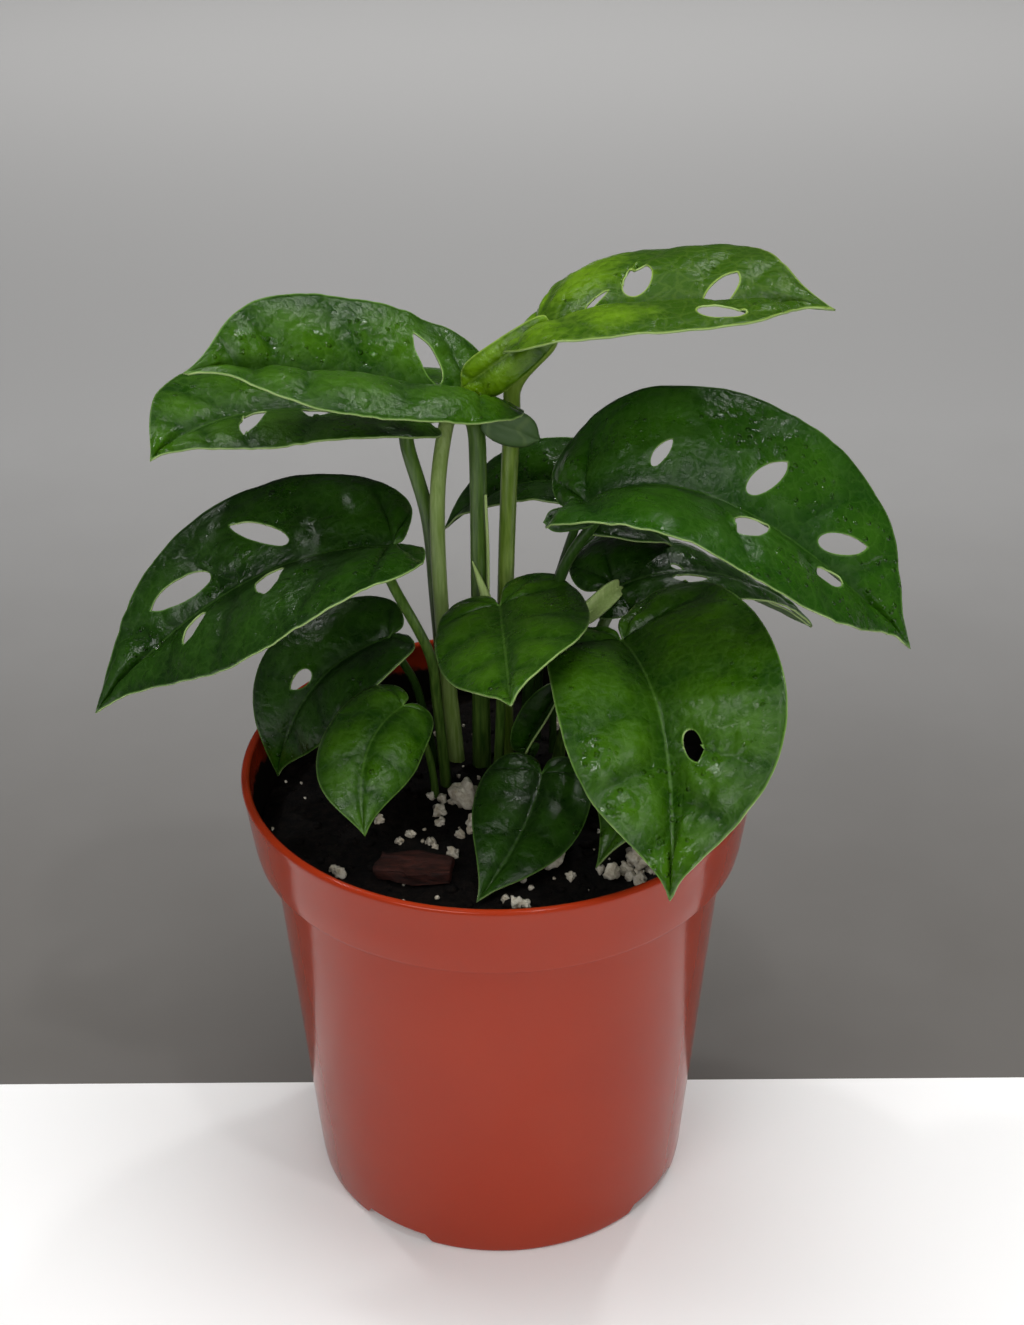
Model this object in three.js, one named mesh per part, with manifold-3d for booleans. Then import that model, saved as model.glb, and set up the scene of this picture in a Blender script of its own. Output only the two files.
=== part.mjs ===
// Potted swiss cheese vine: a nursery pot filled with potting mix, and a young plant with holed leaves.
// Millimetres, +Z up, the origin at the middle of the pot's foot on the surface it stands on.

import * as THREE from "three";
import { mergeVertices } from "three/addons/utils/BufferGeometryUtils.js";
import Module from "manifold-3d";

const wasm = await Module();
wasm.setup();

// Driving dimensions of the pot
const RIM_RADIUS = 76;
const POT_HEIGHT = 142;
const FOOT_RADIUS = 57.5;
const WALL = 1.6;
const COLLAR_HEIGHT = 23.5;
const COLLAR_LOW_RADIUS = 72.8;
const BODY_TOP_RADIUS = 68;
const FOOT_RING_WIDTH = 3;
const FOOT_CHAMFER = 1.3;
const STEP_CHAMFER = 0.8;
const LIP_HEIGHT = 2.6;
const FLOOR_RISE = 3.6;
const FLOOR_THICKNESS = 2;
const PAD_RADIUS = 9;
const NOTCH_COUNT = 4;
const NOTCH_FIRST_ANGLE = 56;
const NOTCH_WIDTH = 24;
const NOTCH_RISE = 3.5;
const NOTCH_SLOPE = 3.5;
const NOTCH_REACH = 12;
const DRAIN_COUNT = 6;
const DRAIN_RADIUS = 3;
const DRAIN_RING_RADIUS = 36;
const POT_SIDES = 48;

// Driving dimensions of the potting mix
const SOIL_TOP = 125;
const SOIL_EDGE_DROP = 2;
const SOIL_FLAT_RADIUS = 52;
const SOIL_SIDES = 40;
const GAP = 0.3;
const STALK_END_GAP = 0.5;
const FOOT_DEPTH = 12;
const CUT_OVER = 8;

// Driving dimensions shared by the leaves
const BLADE_THICKNESS = 0.8;
const VEIN_SLANT = 0.45;
const VEIN_BOW = 1.25;
const CELL_LENGTH = 6.5;
const FEWEST_ROWS = 9;
const MOST_ROWS = 15;
const BROAD_WIDTH = 18;
const STALK_SIDES = 8;
const STALK_STEPS = 9;
const HOLE_SEGMENTS = 5;
const HOLE_TOOL_DEPTH = 8;

// Driving dimensions of the new shoot in its sheath
const SHOOT_LENGTH = 20;
const SHOOT_RADIUS = 1.7;
const SHOOT_PLACE = [-3.9, 20.1, 189.3];
const SHOOT_LEAN = -20;
const SHEATH = {
  base: [-2.5, 22.6, 172], tip: [-3.7, 22.3, 219], arch: 0, crest: 0.5, sway: 0, roll: -80, twist: 0,
  width: [1.8, 1.8], lobe: [1, 1], widest: 0.3, full: 0.7, fold: [15, 15], curl: [10, 10],
};

// What lies on the mix: perlite grains as place and radius, and one chip of bark
const GRAINS = [
  { x: -9.5, y: 1, radius: 4.2 },
  { x: -6.5, y: -13, radius: 2.8 },
  { x: 15.5, y: -30, radius: 3.6 },
  { x: 41, y: -31, radius: 3.4 },
  { x: 33, y: -37, radius: 2.6 },
  { x: 20, y: 43, radius: 2.8 },
];
const CHIP = { x: -24, y: -34, length: 19, width: 12, thick: 3.2, turn: -8, warp: 0.5 };

const COLOURS = {
  pot: 0xb5432a,
  soil: 0x1d1815,
  perlite: 0xd9d3c4,
  bark: 0x5a2f25,
  dark: 0x1f4a1e,
  leaf: 0x2c6120,
  young: 0x6c9c1c,
  stalk: 0x5f8a2a,
  pale: 0x9dbb4a,
};

// Each leaf: where its blade starts and ends, how the midrib rises and sways over the chord, and for its left
// and right half (seen from the base to the tip) the width, the back lobe, the fold up and the curl down.
// A hole lies so far along the midrib and out to the right of it. A stalk runs from its foot in the mix over
// the places in via to the blade.
const LEAVES = [
  {
    name: "top_left", colour: "leaf", base: [-7.2, 23.2, 248.3], tip: [-83.2, -6, 270.3],
    arch: 2.7, crest: 0.51, sway: 2, roll: -7, twist: -12, width: [29.5, 27], lobe: [11, 7],
    widest: 0.34, full: 0.82, fold: [36.5, 32.5], curl: [57, 12],
    holes: [{ at: 12.7, out: 10.5, long: 17, wide: 5.6, turn: 66 }],
    foot: [-5, 26], via: [[-5, 25.2, 185], [-4.7, 25.3, 226]], stalk: 2.2,
    turned: [{
      base: [-2, 18, 244.4], tip: [13.2, 18, 238.3], arch: 1, crest: 0.5, sway: 0, roll: 90, twist: 0,
      width: [7, 6.5], lobe: [1, 1], widest: 0.37, full: 0.85, fold: [0, 0], curl: [10, 20],
    }],
  },
  {
    name: "under_left", colour: "leaf", base: [-24, 37, 235], tip: [-96, 5, 239],
    arch: 6, crest: 0.62, sway: 10, roll: 2, twist: -18, width: [27, 28], lobe: [8, 9],
    widest: 0.42, full: 0.57, fold: [15, 16], curl: [26, 21],
    holes: [
      { at: 45, out: -9.6, long: 17, wide: 6.5, turn: -40 },
      { at: 24, out: -6.5, long: 12, wide: 7.6, turn: -60 },
    ],
    foot: [-15, 35], via: [[-18, 36, 174], [-20, 36, 204]], stalk: 1.9,
  },
  {
    name: "top_right", colour: "young", base: [12.8, 27.5, 265.9], tip: [94.7, 21.2, 276.1],
    arch: 7.6, crest: 0.18, sway: 1.4, roll: -3, twist: 9.7, width: [42, 30.4], lobe: [14, 4],
    widest: 0.35, full: 1.0, fold: [29, 22], curl: [64, 35],
    holes: [
      { at: 42, out: -8.9, long: 13.2, wide: 7.4, turn: -72 },
      { at: 29, out: -3, long: 10.7, wide: 2, turn: -35 },
      { at: 61.9, out: -4, long: 14, wide: 5.2, turn: -65 },
      { at: 61.4, out: 17.1, long: 10.2, wide: 8, turn: -18 },
    ],
    foot: [2, 31], via: [[2.8, 30, 185], [4.8, 28, 238], [6, 27.5, 252]], stalk: 2.4, neck: 1,
    turned: [{
      base: [15, 22.5, 271.5], tip: [-9.4, 22, 252.7], arch: 2, crest: 0.5, sway: 0, roll: -75, twist: 0,
      width: [7.8, 5.2], lobe: [1, 1], widest: 0.68, full: 0.9, fold: [4, 4], curl: [24, 24],
    }],
  },
  {
    name: "right", colour: "dark", base: [26, 10, 222], tip: [119, -4, 182],
    arch: 19, crest: 0.2, sway: 0, roll: 3, twist: 13, width: [35, 35], lobe: [10, 7],
    widest: 0.5, full: 0.8, fold: [37, 18], curl: [17, 22],
    holes: [
      { at: 28, out: -10, long: 10, wide: 4, turn: -58 },
      { at: 57.5, out: -12, long: 15, wide: 5.5, turn: -68 },
      { at: 57, out: 12.8, long: 15, wide: 8, turn: -62 },
      { at: 79.5, out: -8, long: 12, wide: 5.2, turn: -43 },
      { at: 79, out: 9.8, long: 9.3, wide: 6, turn: -68 },
    ],
    foot: [8, 20], via: [[10, 18, 160], [19.5, 13, 199]], stalk: 1.8,
  },
  {
    name: "left", colour: "dark", base: [-29, 0, 214], tip: [-116, -9, 165],
    arch: 11, crest: 0.39, sway: 4, roll: 2, twist: -39, width: [39, 33], lobe: [11, 4],
    widest: 0.28, full: 0.59, fold: [12, 22], curl: [27, 7],
    holes: [
      { at: 39.5, out: 13.2, long: 20, wide: 6, turn: 43 },
      { at: 65, out: 8.7, long: 18, wide: 7.5, turn: 5 },
      { at: 38, out: -10.8, long: 17, wide: 9, turn: -84 },
      { at: 65, out: -8.5, long: 11, wide: 6, turn: -43 },
    ],
    foot: [-16, 15], via: [[-18, 13, 155], [-20, 10, 174], [-30, 4, 201]], stalk: 1.7,
  },
  {
    name: "low_left", colour: "dark", base: [-32, 20, 173], tip: [-66, 6, 133],
    arch: 10, crest: 0.44, sway: 1, roll: -6, twist: -21, width: [19, 20], lobe: [5, 7],
    widest: 0.42, full: 0.59, fold: [12, 27], curl: [27, 13],
    holes: [{ at: 27.5, out: 4.5, long: 7.5, wide: 4.6, turn: 11 }],
    foot: [-20, 27], via: [[-24, 26, 150], [-28, 23, 162]], stalk: 1.4,
  },
  {
    name: "small_left", colour: "leaf", base: [-27, -9, 167], tip: [-37, -45, 146],
    arch: 5, crest: 0.45, sway: 5, roll: -1, twist: -5, width: [15, 15], lobe: [4, 5],
    widest: 0.42, full: 0.61, fold: [5, 6], curl: [40, 30], holes: [],
    foot: [-19, 8], via: [[-21, 6, 142], [-25, -2, 157]], stalk: 1.2,
  },
  {
    name: "centre", colour: "leaf", base: [1, 5, 192], tip: [4, -58, 197],
    arch: -1, crest: 0.47, sway: 0, roll: 13, twist: 15, width: [24, 20], lobe: [8, 7],
    widest: 0.26, full: 0.56, fold: [11, 3], curl: [26, 19], holes: [],
    foot: [0, 14], via: [[1, 13, 150], [1.5, 9, 175]], stalk: 1.6,
  },
  {
    name: "front_right", colour: "leaf", base: [36, -5, 186], tip: [46, -86, 153],
    arch: 11, crest: 0.44, sway: -5, roll: 2, twist: 13, width: [36, 29], lobe: [12, 9],
    widest: 0.41, full: 0.71, fold: [25, 17], curl: [10, 13],
    holes: [{ at: 51.7, out: -8, long: 10.8, wide: 5.2, turn: -13 }],
    foot: [20, 6], via: [[25, 3, 150], [33, -2, 172]], stalk: 1.8,
  },
  {
    name: "front", colour: "dark", base: [13, -7, 142], tip: [-6, -49, 126],
    arch: 2, crest: 0.43, sway: -3, roll: -9, twist: -1, width: [16, 17], lobe: [7, 6],
    widest: 0.27, full: 0.56, fold: [11, 16], curl: [29, 25], holes: [],
    foot: [10.5, 0], via: [[10.8, -0.6, 133]], stalk: 1.3,
  },
  {
    name: "behind", colour: "dark", base: [28, 45, 209], tip: [-16, 55, 191],
    arch: 6, crest: 0.41, sway: 4, roll: -1, twist: -10, width: [16, 17], lobe: [6, 6],
    widest: 0.32, full: 0.6, fold: [18, 30], curl: [23, 20], holes: [],
    foot: [12, 41], via: [[14, 46, 160], [20, 49, 181], [24.5, 47, 197]], stalk: 1.5,
  },
  {
    name: "back_right", colour: "dark", base: [35.6, 31.8, 182.9], tip: [99.4, 60.8, 152.4],
    arch: 14, crest: 0.25, sway: 2.4, roll: 15, twist: -38, width: [30, 12], lobe: [12, 9],
    widest: 0.31, full: 0.59, fold: [9, -5], curl: [60, 15],
    holes: [
      { at: 26.5, out: 3.8, long: 12.5, wide: 3, turn: 6 },
      { at: 23.5, out: -1.5, long: 4.5, wide: 1.6, turn: 21 },
    ],
    foot: [18, 22], via: [[24, 27, 150], [33, 35, 170]], stalk: 1.9,
    turned: [{
      base: [72, 54, 170], tip: [99, 60, 152.8], arch: 1, crest: 0.5, sway: 0, roll: -40, twist: 0,
      width: [1.7, 2.4], lobe: [1, 1], widest: 0.4, full: 0.95, fold: [0, 0], curl: [10, 20],
    }, {
      base: [36.5, 31, 183.5], tip: [22.5, 20, 176], arch: 1, crest: 0.5, sway: 0, roll: -50, twist: 0,
      width: [3.3, 4], lobe: [1, 1], widest: 0.5, full: 0.8, fold: [20, 20], curl: [-20, -20],
    }],
  },
  {
    name: "small_back", colour: "dark", base: [29, 46, 197.5], tip: [54, 46, 189],
    arch: 3, crest: 0.45, sway: 0, roll: 0, twist: 0, width: [10, 10], lobe: [3, 3],
    widest: 0.35, full: 0.6, fold: [10, 10], curl: [25, 25], holes: [],
    foot: [17, 33], via: [[17.5, 39, 160], [19.3, 42.5, 183]], stalk: 1.2,
  },
  {
    name: "small_right", colour: "leaf", base: [37, -12, 134], tip: [28, -37, 129],
    arch: 8, crest: 0.41, sway: -5, roll: 3, twist: 2, width: [9, 9], lobe: [3, 3],
    widest: 0.27, full: 0.53, fold: [14, 11], curl: [27, 31], holes: [],
    foot: [35, -9], via: [[35.4, -9.6, 129.5]], stalk: 1,
  },
  {
    name: "folded", colour: "dark", base: [9, 8, 141], tip: [24, 10, 167],
    arch: 2, crest: 0.4, sway: 0, roll: 30, twist: 0, width: [7, 7], lobe: [2, 2],
    widest: 0.4, full: 0.6, fold: [50, 50], curl: [10, 10], holes: [],
    foot: [6, 8], via: [[6.8, 8, 131]], stalk: 1.1,
  },
  {
    name: "rear", colour: "leaf", base: [-12, 43, 244], tip: [-14, 99, 216],
    arch: 5, crest: 0.4, sway: 0, roll: 0, twist: 6, width: [16, 16], lobe: [6, 6],
    widest: 0.32, full: 0.6, fold: [14, 14], curl: [28, 28], holes: [],
    foot: [-13, 28], via: [[-16.5, 29, 178], [-17, 31, 213], [-14.5, 36, 233]], stalk: 2,
  },
];

const rootGroup = new THREE.Group();

function material(colour, roughness) {
  return new THREE.MeshStandardMaterial({ color: colour, roughness: roughness, metalness: 0 });
}

function addMesh(name, geometry, look) {
  const mesh = new THREE.Mesh(geometry, look);
  mesh.name = name;
  rootGroup.add(mesh);
  return mesh;
}

// Booleans

function toSolid(geometry) {
  const bare = geometry.clone();
  bare.deleteAttribute("normal");
  bare.deleteAttribute("uv");
  const merged = mergeVertices(bare, 1e-4);
  const vertProperties = new Float32Array(merged.attributes.position.array);
  const triVerts = dropFlatTriangles(merged.index.array);
  return new wasm.Manifold(new wasm.Mesh({ numProp: 3, vertProperties, triVerts }));
}

function toGeometry(solid) {
  const mesh = solid.getMesh();
  const geometry = new THREE.BufferGeometry();
  geometry.setAttribute("position", new THREE.BufferAttribute(new Float32Array(mesh.vertProperties), 3));
  geometry.setIndex(new THREE.BufferAttribute(new Uint32Array(mesh.triVerts), 1));
  return geometry;
}

// A triangle with two equal corners has no face.
function dropFlatTriangles(indices) {
  const kept = [];
  for (let i = 0; i < indices.length; i += 3) {
    const [a, b, c] = [indices[i], indices[i + 1], indices[i + 2]];
    if (a !== b && b !== c && c !== a) kept.push(a, b, c);
  }
  return new Uint32Array(kept);
}

function cut(geometry, tools) {
  let solid = toSolid(geometry);
  for (const tool of tools) {
    solid = solid.subtract(toSolid(tool));
  }
  return toGeometry(solid);
}

// Pot

function lathe(outline, sides) {
  const points = outline.map(([radius, height]) => new THREE.Vector2(radius, height));
  const geometry = new THREE.LatheGeometry(points, sides);
  geometry.rotateX(Math.PI / 2);
  return geometry;
}

// Outer radius of the tapering body at a height over the surface.
function bodyRadius(height) {
  const share = height / (POT_HEIGHT - COLLAR_HEIGHT);
  return FOOT_RADIUS + (BODY_TOP_RADIUS - FOOT_RADIUS) * share;
}

function potShell() {
  const step = POT_HEIGHT - COLLAR_HEIGHT;
  const ringInner = FOOT_RADIUS - FOOT_RING_WIDTH;
  const innerFoot = FOOT_RADIUS - WALL;
  const floorTop = FLOOR_RISE + FLOOR_THICKNESS;
  return lathe([
    [0, 0],
    [PAD_RADIUS, 0],
    [PAD_RADIUS + 1, FLOOR_RISE],
    [ringInner, FLOOR_RISE],
    [ringInner, 0],
    [FOOT_RADIUS - FOOT_CHAMFER, 0],
    [FOOT_RADIUS, FOOT_CHAMFER],
    [bodyRadius(40), 40],
    [bodyRadius(step - STEP_CHAMFER), step - STEP_CHAMFER],
    [COLLAR_LOW_RADIUS - STEP_CHAMFER, step],
    [COLLAR_LOW_RADIUS, step + STEP_CHAMFER],
    [RIM_RADIUS - 0.9, POT_HEIGHT - LIP_HEIGHT],
    [RIM_RADIUS, POT_HEIGHT - 0.6 * LIP_HEIGHT],
    [RIM_RADIUS - 0.4, POT_HEIGHT - 0.1 * LIP_HEIGHT],
    [RIM_RADIUS - 1.2, POT_HEIGHT],
    [RIM_RADIUS - 2.2, POT_HEIGHT - 0.3 * LIP_HEIGHT],
    [COLLAR_LOW_RADIUS - WALL, step + 2 * WALL],
    [BODY_TOP_RADIUS - WALL, step - 0.5],
    [innerFoot + 0.6, floorTop + 2],
    [innerFoot - 1.4, floorTop],
    [0, floorTop],
  ], POT_SIDES);
}

// A wedge through the foot ring with sloped ends.
function notchTool(angle) {
  const low = (NOTCH_WIDTH + NOTCH_SLOPE) / 2;
  const high = (NOTCH_WIDTH - NOTCH_SLOPE) / 2;
  const outline = new THREE.Shape();
  outline.moveTo(-low, -1);
  outline.lineTo(low, -1);
  outline.lineTo(low, 0);
  outline.lineTo(high, NOTCH_RISE);
  outline.lineTo(-high, NOTCH_RISE);
  outline.lineTo(-low, 0);
  outline.closePath();
  const tool = new THREE.ExtrudeGeometry(outline, { depth: NOTCH_REACH, bevelEnabled: false });
  tool.rotateX(Math.PI / 2);
  tool.translate(0, -FOOT_RADIUS + 3 * FOOT_RING_WIDTH, 0);
  tool.rotateZ(THREE.MathUtils.degToRad(angle));
  return tool;
}

function drainTool(index) {
  const angle = (index + 0.5) * 2 * Math.PI / DRAIN_COUNT;
  const tool = new THREE.CylinderGeometry(DRAIN_RADIUS, DRAIN_RADIUS, FLOOR_THICKNESS + 4, 12);
  tool.rotateX(Math.PI / 2);
  tool.translate(DRAIN_RING_RADIUS * Math.cos(angle), DRAIN_RING_RADIUS * Math.sin(angle), FLOOR_RISE + 1);
  return tool;
}

function makePot() {
  const tools = [];
  for (let i = 0; i < NOTCH_COUNT; i += 1) {
    tools.push(notchTool(NOTCH_FIRST_ANGLE + i * 360 / NOTCH_COUNT));
  }
  for (let i = 0; i < DRAIN_COUNT; i += 1) {
    tools.push(drainTool(i));
  }
  addMesh("pot", cut(potShell(), tools), material(COLOURS.pot, 0.35));
}

// Potting mix

function footTool(leaf) {
  const radius = leaf.stalk + GAP;
  const depth = FOOT_DEPTH + GAP;
  const cornerRadius = 1.05 * radius;
  const tool = new THREE.CylinderGeometry(cornerRadius, cornerRadius, depth + CUT_OVER, STALK_SIDES);
  tool.rotateX(Math.PI / 2);
  tool.translate(leaf.foot[0], leaf.foot[1], SOIL_TOP + (CUT_OVER - depth) / 2);
  return tool;
}

function makeSoil() {
  const bottom = FLOOR_RISE + FLOOR_THICKNESS + GAP;
  const inner = WALL + GAP;
  const step = POT_HEIGHT - COLLAR_HEIGHT;
  const edge = COLLAR_LOW_RADIUS - WALL - GAP - 0.1;
  const edgeTop = SOIL_TOP - SOIL_EDGE_DROP;
  const body = lathe([
    [0, bottom],
    [FOOT_RADIUS - inner - 1.6, bottom],
    [FOOT_RADIUS - inner + 0.5, bottom + 2.2],
    [BODY_TOP_RADIUS - inner - 0.05, step - 0.2],
    [edge, step + 2 * WALL + 0.2],
    [edge, edgeTop],
    [SOIL_FLAT_RADIUS, SOIL_TOP],
    [0, SOIL_TOP],
  ], SOIL_SIDES);
  addMesh("potting_mix", cut(body, LEAVES.map(footTool)), material(COLOURS.soil, 0.95));
}

// Leaf surface

function bladeLength(leaf) {
  return new THREE.Vector3(...leaf.base).distanceTo(new THREE.Vector3(...leaf.tip));
}

// The frame on the midrib at a share of its length: the place, and the ways out to the right and up.
function midribFrame(leaf, share) {
  const base = new THREE.Vector3(...leaf.base);
  const tip = new THREE.Vector3(...leaf.tip);
  const chord = tip.clone().sub(base);
  const length = bladeLength(leaf);
  chord.normalize();
  const level = chord.clone().cross(new THREE.Vector3(0, 0, 1)).normalize();
  const above = level.clone().cross(chord);
  const roll = THREE.MathUtils.degToRad(leaf.roll);
  const normal = above.multiplyScalar(Math.cos(roll)).addScaledVector(level, Math.sin(roll));
  const right = chord.clone().cross(normal);
  const crown = base.clone().addScaledVector(chord, length * leaf.crest);
  crown.addScaledVector(normal, 2 * leaf.arch).addScaledVector(right, 2 * leaf.sway);
  const midrib = new THREE.QuadraticBezierCurve3(base, crown, tip);
  const along = THREE.MathUtils.clamp(share, 0, 1);
  const tangent = midrib.getTangent(along);
  const point = midrib.getPoint(along).addScaledVector(tangent, Math.min(share, 0) * length);
  const twist = THREE.MathUtils.degToRad(leaf.twist) * (along - 0.3);
  const turned = normal.multiplyScalar(Math.cos(twist)).addScaledVector(right, Math.sin(twist));
  const out = tangent.clone().cross(turned).normalize();
  const up = out.clone().cross(tangent);
  return { point, out, up };
}

// The place on the blade so far along and out from the midrib; side is 1 for the right half, -1 for the left.
function bladePlace(leaf, side, along, outward, lift) {
  const frame = midribFrame(leaf, along / bladeLength(leaf));
  const half = side > 0 ? 1 : 0;
  const curl = leaf.curl[half] * outward / leaf.width[half];
  const rise = THREE.MathUtils.degToRad(leaf.fold[half] - 0.5 * curl);
  const slope = THREE.MathUtils.degToRad(leaf.fold[half] - curl);
  const place = frame.point.clone();
  place.addScaledVector(frame.out, side * (outward * Math.cos(rise) - lift * Math.sin(slope)));
  place.addScaledVector(frame.up, outward * Math.sin(rise) + lift * Math.cos(slope));
  return place;
}

// The half outline from the notch at the stalk round the back lobe and the widest place to the tip.
function halfOutline(leaf, side, share) {
  const length = bladeLength(leaf);
  const half = side > 0 ? 1 : 0;
  const width = leaf.width[half];
  const lobe = leaf.lobe[half];
  const wide = leaf.widest * length;
  const rest = length - wide;
  const v = (x, y) => new THREE.Vector2(x, y);
  const lobeEnd = v(-lobe, 0.42 * width);
  const curves = [
    new THREE.CubicBezierCurve(v(-0.62 * lobe, 0.07 * width), v(-0.85 * lobe, 0.1 * width),
      v(-lobe, 0.22 * width), lobeEnd),
    new THREE.CubicBezierCurve(lobeEnd, v(-lobe, 0.8 * width), v(wide - 0.55 * (wide + lobe), width),
      v(wide, width)),
    new THREE.CubicBezierCurve(v(wide, width), v(wide + leaf.full * rest, width),
      v(wide + 0.72 * rest, 0.3 * width), v(length, 0)),
  ];
  const ends = [0, 0.14, 0.45, 1];
  const stretch = share < ends[1] ? 0 : share < ends[2] ? 1 : 2;
  const local = (share - ends[stretch]) / (ends[stretch + 1] - ends[stretch]);
  return curves[stretch].getPoint(local);
}

// The place at a share of the way round the outline and a share of the way out along the vein to it.
function veinPlace(leaf, side, round, outShare, lift) {
  const edge = halfOutline(leaf, side, round);
  const root = Math.max(0, edge.x - VEIN_SLANT * edge.y);
  const along = root + (edge.x - root) * outShare ** VEIN_BOW;
  return bladePlace(leaf, side, along, edge.y * outShare, lift);
}

// One closed sheet: a grid on the upper face, the same grid on the lower face, and a band round the edge.
function bladeSheet(leaf) {
  const rows = THREE.MathUtils.clamp(Math.round(bladeLength(leaf) / CELL_LENGTH), FEWEST_ROWS, MOST_ROWS);
  const cells = leaf.width[0] > BROAD_WIDTH ? 4 : 3;
  const columns = 2 * cells;
  const positions = [];
  const indices = [];
  const perFace = (rows + 1) * (columns + 1);
  for (const lift of [BLADE_THICKNESS / 2, -BLADE_THICKNESS / 2]) {
    for (let row = 0; row <= rows; row += 1) {
      for (let column = 0; column <= columns; column += 1) {
        const across = column / cells - 1;
        const side = across < 0 ? -1 : 1;
        positions.push(...veinPlace(leaf, side, row / rows, Math.abs(across), lift).toArray());
      }
    }
  }
  const corner = (row, column) => row * (columns + 1) + column;
  for (let row = 0; row < rows; row += 1) {
    for (let column = 0; column < columns; column += 1) {
      const [a, b] = [corner(row, column), corner(row, column + 1)];
      const [c, d] = [corner(row + 1, column + 1), corner(row + 1, column)];
      indices.push(a, c, d);
      indices.push(a, b, c);
      indices.push(perFace + a, perFace + d, perFace + c);
      indices.push(perFace + a, perFace + c, perFace + b);
    }
  }
  const edge = [];
  for (let column = 0; column < columns; column += 1) {
    edge.push(corner(0, column));
  }
  for (let row = 0; row < rows; row += 1) {
    edge.push(corner(row, columns));
  }
  for (let column = columns; column > 0; column -= 1) {
    edge.push(corner(rows, column));
  }
  for (let row = rows; row > 0; row -= 1) {
    edge.push(corner(row, 0));
  }
  edge.forEach((a, i) => {
    const b = edge[(i + 1) % edge.length];
    indices.push(a, perFace + b, b);
    indices.push(a, perFace + a, perFace + b);
  });
  const sheet = new THREE.BufferGeometry();
  sheet.setAttribute("position", new THREE.Float32BufferAttribute(positions, 3));
  sheet.setIndex(indices);
  return sheet;
}

// A lens-shaped plug that stands through the blade where a hole is.
function holeTool(leaf, hole) {
  const side = hole.out < 0 ? -1 : 1;
  const outward = Math.abs(hole.out);
  const centre = bladePlace(leaf, side, hole.at, outward, 0);
  const normal = bladePlace(leaf, side, hole.at, outward, 1).sub(centre).normalize();
  const ahead = bladePlace(leaf, side, hole.at + 1, outward, 0).sub(centre).normalize();
  const right = ahead.clone().cross(normal).normalize();
  const forward = normal.clone().cross(right).normalize();
  const long = hole.long / 2;
  const wide = hole.wide / 2;
  const outline = new THREE.Shape();
  outline.moveTo(-long, 0);
  outline.bezierCurveTo(-long, 1.25 * wide, 0.5 * long, 1.45 * wide, long, 0);
  outline.bezierCurveTo(0.5 * long, -1.45 * wide, -long, -1.25 * wide, -long, 0);
  const tool = new THREE.ExtrudeGeometry(outline, {
    depth: HOLE_TOOL_DEPTH,
    bevelEnabled: false,
    curveSegments: HOLE_SEGMENTS,
  });
  tool.translate(0, 0, -HOLE_TOOL_DEPTH / 2);
  tool.rotateZ(-THREE.MathUtils.degToRad(hole.turn));
  const frame = new THREE.Matrix4().makeBasis(forward, right.negate(), normal);
  frame.setPosition(centre);
  tool.applyMatrix4(frame);
  return tool;
}

// Each part of the blade that is turned over is a sheet of its own, grown into it.
function makeBlade(leaf) {
  let solid = toSolid(bladeSheet(leaf));
  for (const hole of leaf.holes) {
    solid = solid.subtract(toSolid(holeTool(leaf, hole)));
  }
  for (const sheet of leaf.turned ?? []) {
    solid = solid.add(toSolid(bladeSheet(sheet)));
  }
  addMesh("leaf_" + leaf.name, toGeometry(solid), material(COLOURS[leaf.colour], 0.4));
}

// A round stalk from its hole in the mix to just under the blade's base.
function makeStalk(leaf) {
  const frame = midribFrame(leaf, 0);
  const clear = BLADE_THICKNESS / 2 + STALK_END_GAP;
  const end = frame.point.clone().addScaledVector(frame.up, -clear);
  const knee = (leaf.neck ?? 2.5) * leaf.stalk;
  const before = frame.point.clone().addScaledVector(frame.up, -clear - knee);
  const [x, y] = leaf.foot;
  const path = new THREE.CatmullRomCurve3([
    new THREE.Vector3(x, y, SOIL_TOP - FOOT_DEPTH),
    new THREE.Vector3(x, y, SOIL_TOP + 1),
    ...leaf.via.map((place) => new THREE.Vector3(...place)),
    before,
    end,
  ], false, "centripetal");
  const section = new THREE.Shape();
  section.absarc(0, 0, leaf.stalk, 0, 2 * Math.PI);
  const stalk = new THREE.ExtrudeGeometry(section, {
    steps: STALK_STEPS,
    extrudePath: path,
    curveSegments: STALK_SIDES / 2,
  });
  addMesh("stalk_" + leaf.name, stalk, material(COLOURS.stalk, 0.45));
}

// Small pieces

// The pale sheath that wraps the new shoot.
function makeSheath() {
  addMesh("sheath", cut(bladeSheet(SHEATH), []), material(COLOURS.pale, 0.5));
}

function makeShoot() {
  const shoot = new THREE.ConeGeometry(SHOOT_RADIUS, SHOOT_LENGTH, 10);
  shoot.rotateX(Math.PI / 2);
  const mesh = addMesh("new_shoot", shoot, material(COLOURS.pale, 0.45));
  mesh.position.set(...SHOOT_PLACE);
  mesh.rotation.set(0, THREE.MathUtils.degToRad(SHOOT_LEAN), 0);
}

// A ball with one wave along each axis, so that no two grains are alike.
function grain(radius, seed) {
  const geometry = new THREE.IcosahedronGeometry(radius, 1);
  const positions = geometry.attributes.position;
  const place = new THREE.Vector3();
  for (let i = 0; i < positions.count; i += 1) {
    place.fromBufferAttribute(positions, i);
    const sideWave = Math.sin(place.x * 2.1 + seed) + Math.cos(place.y * 1.7 + 2 * seed);
    place.multiplyScalar(1 + 0.07 * (sideWave + Math.sin(place.z * 2.6)));
    positions.setXYZ(i, place.x, place.y, place.z);
  }
  return cut(geometry, []);
}

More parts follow.
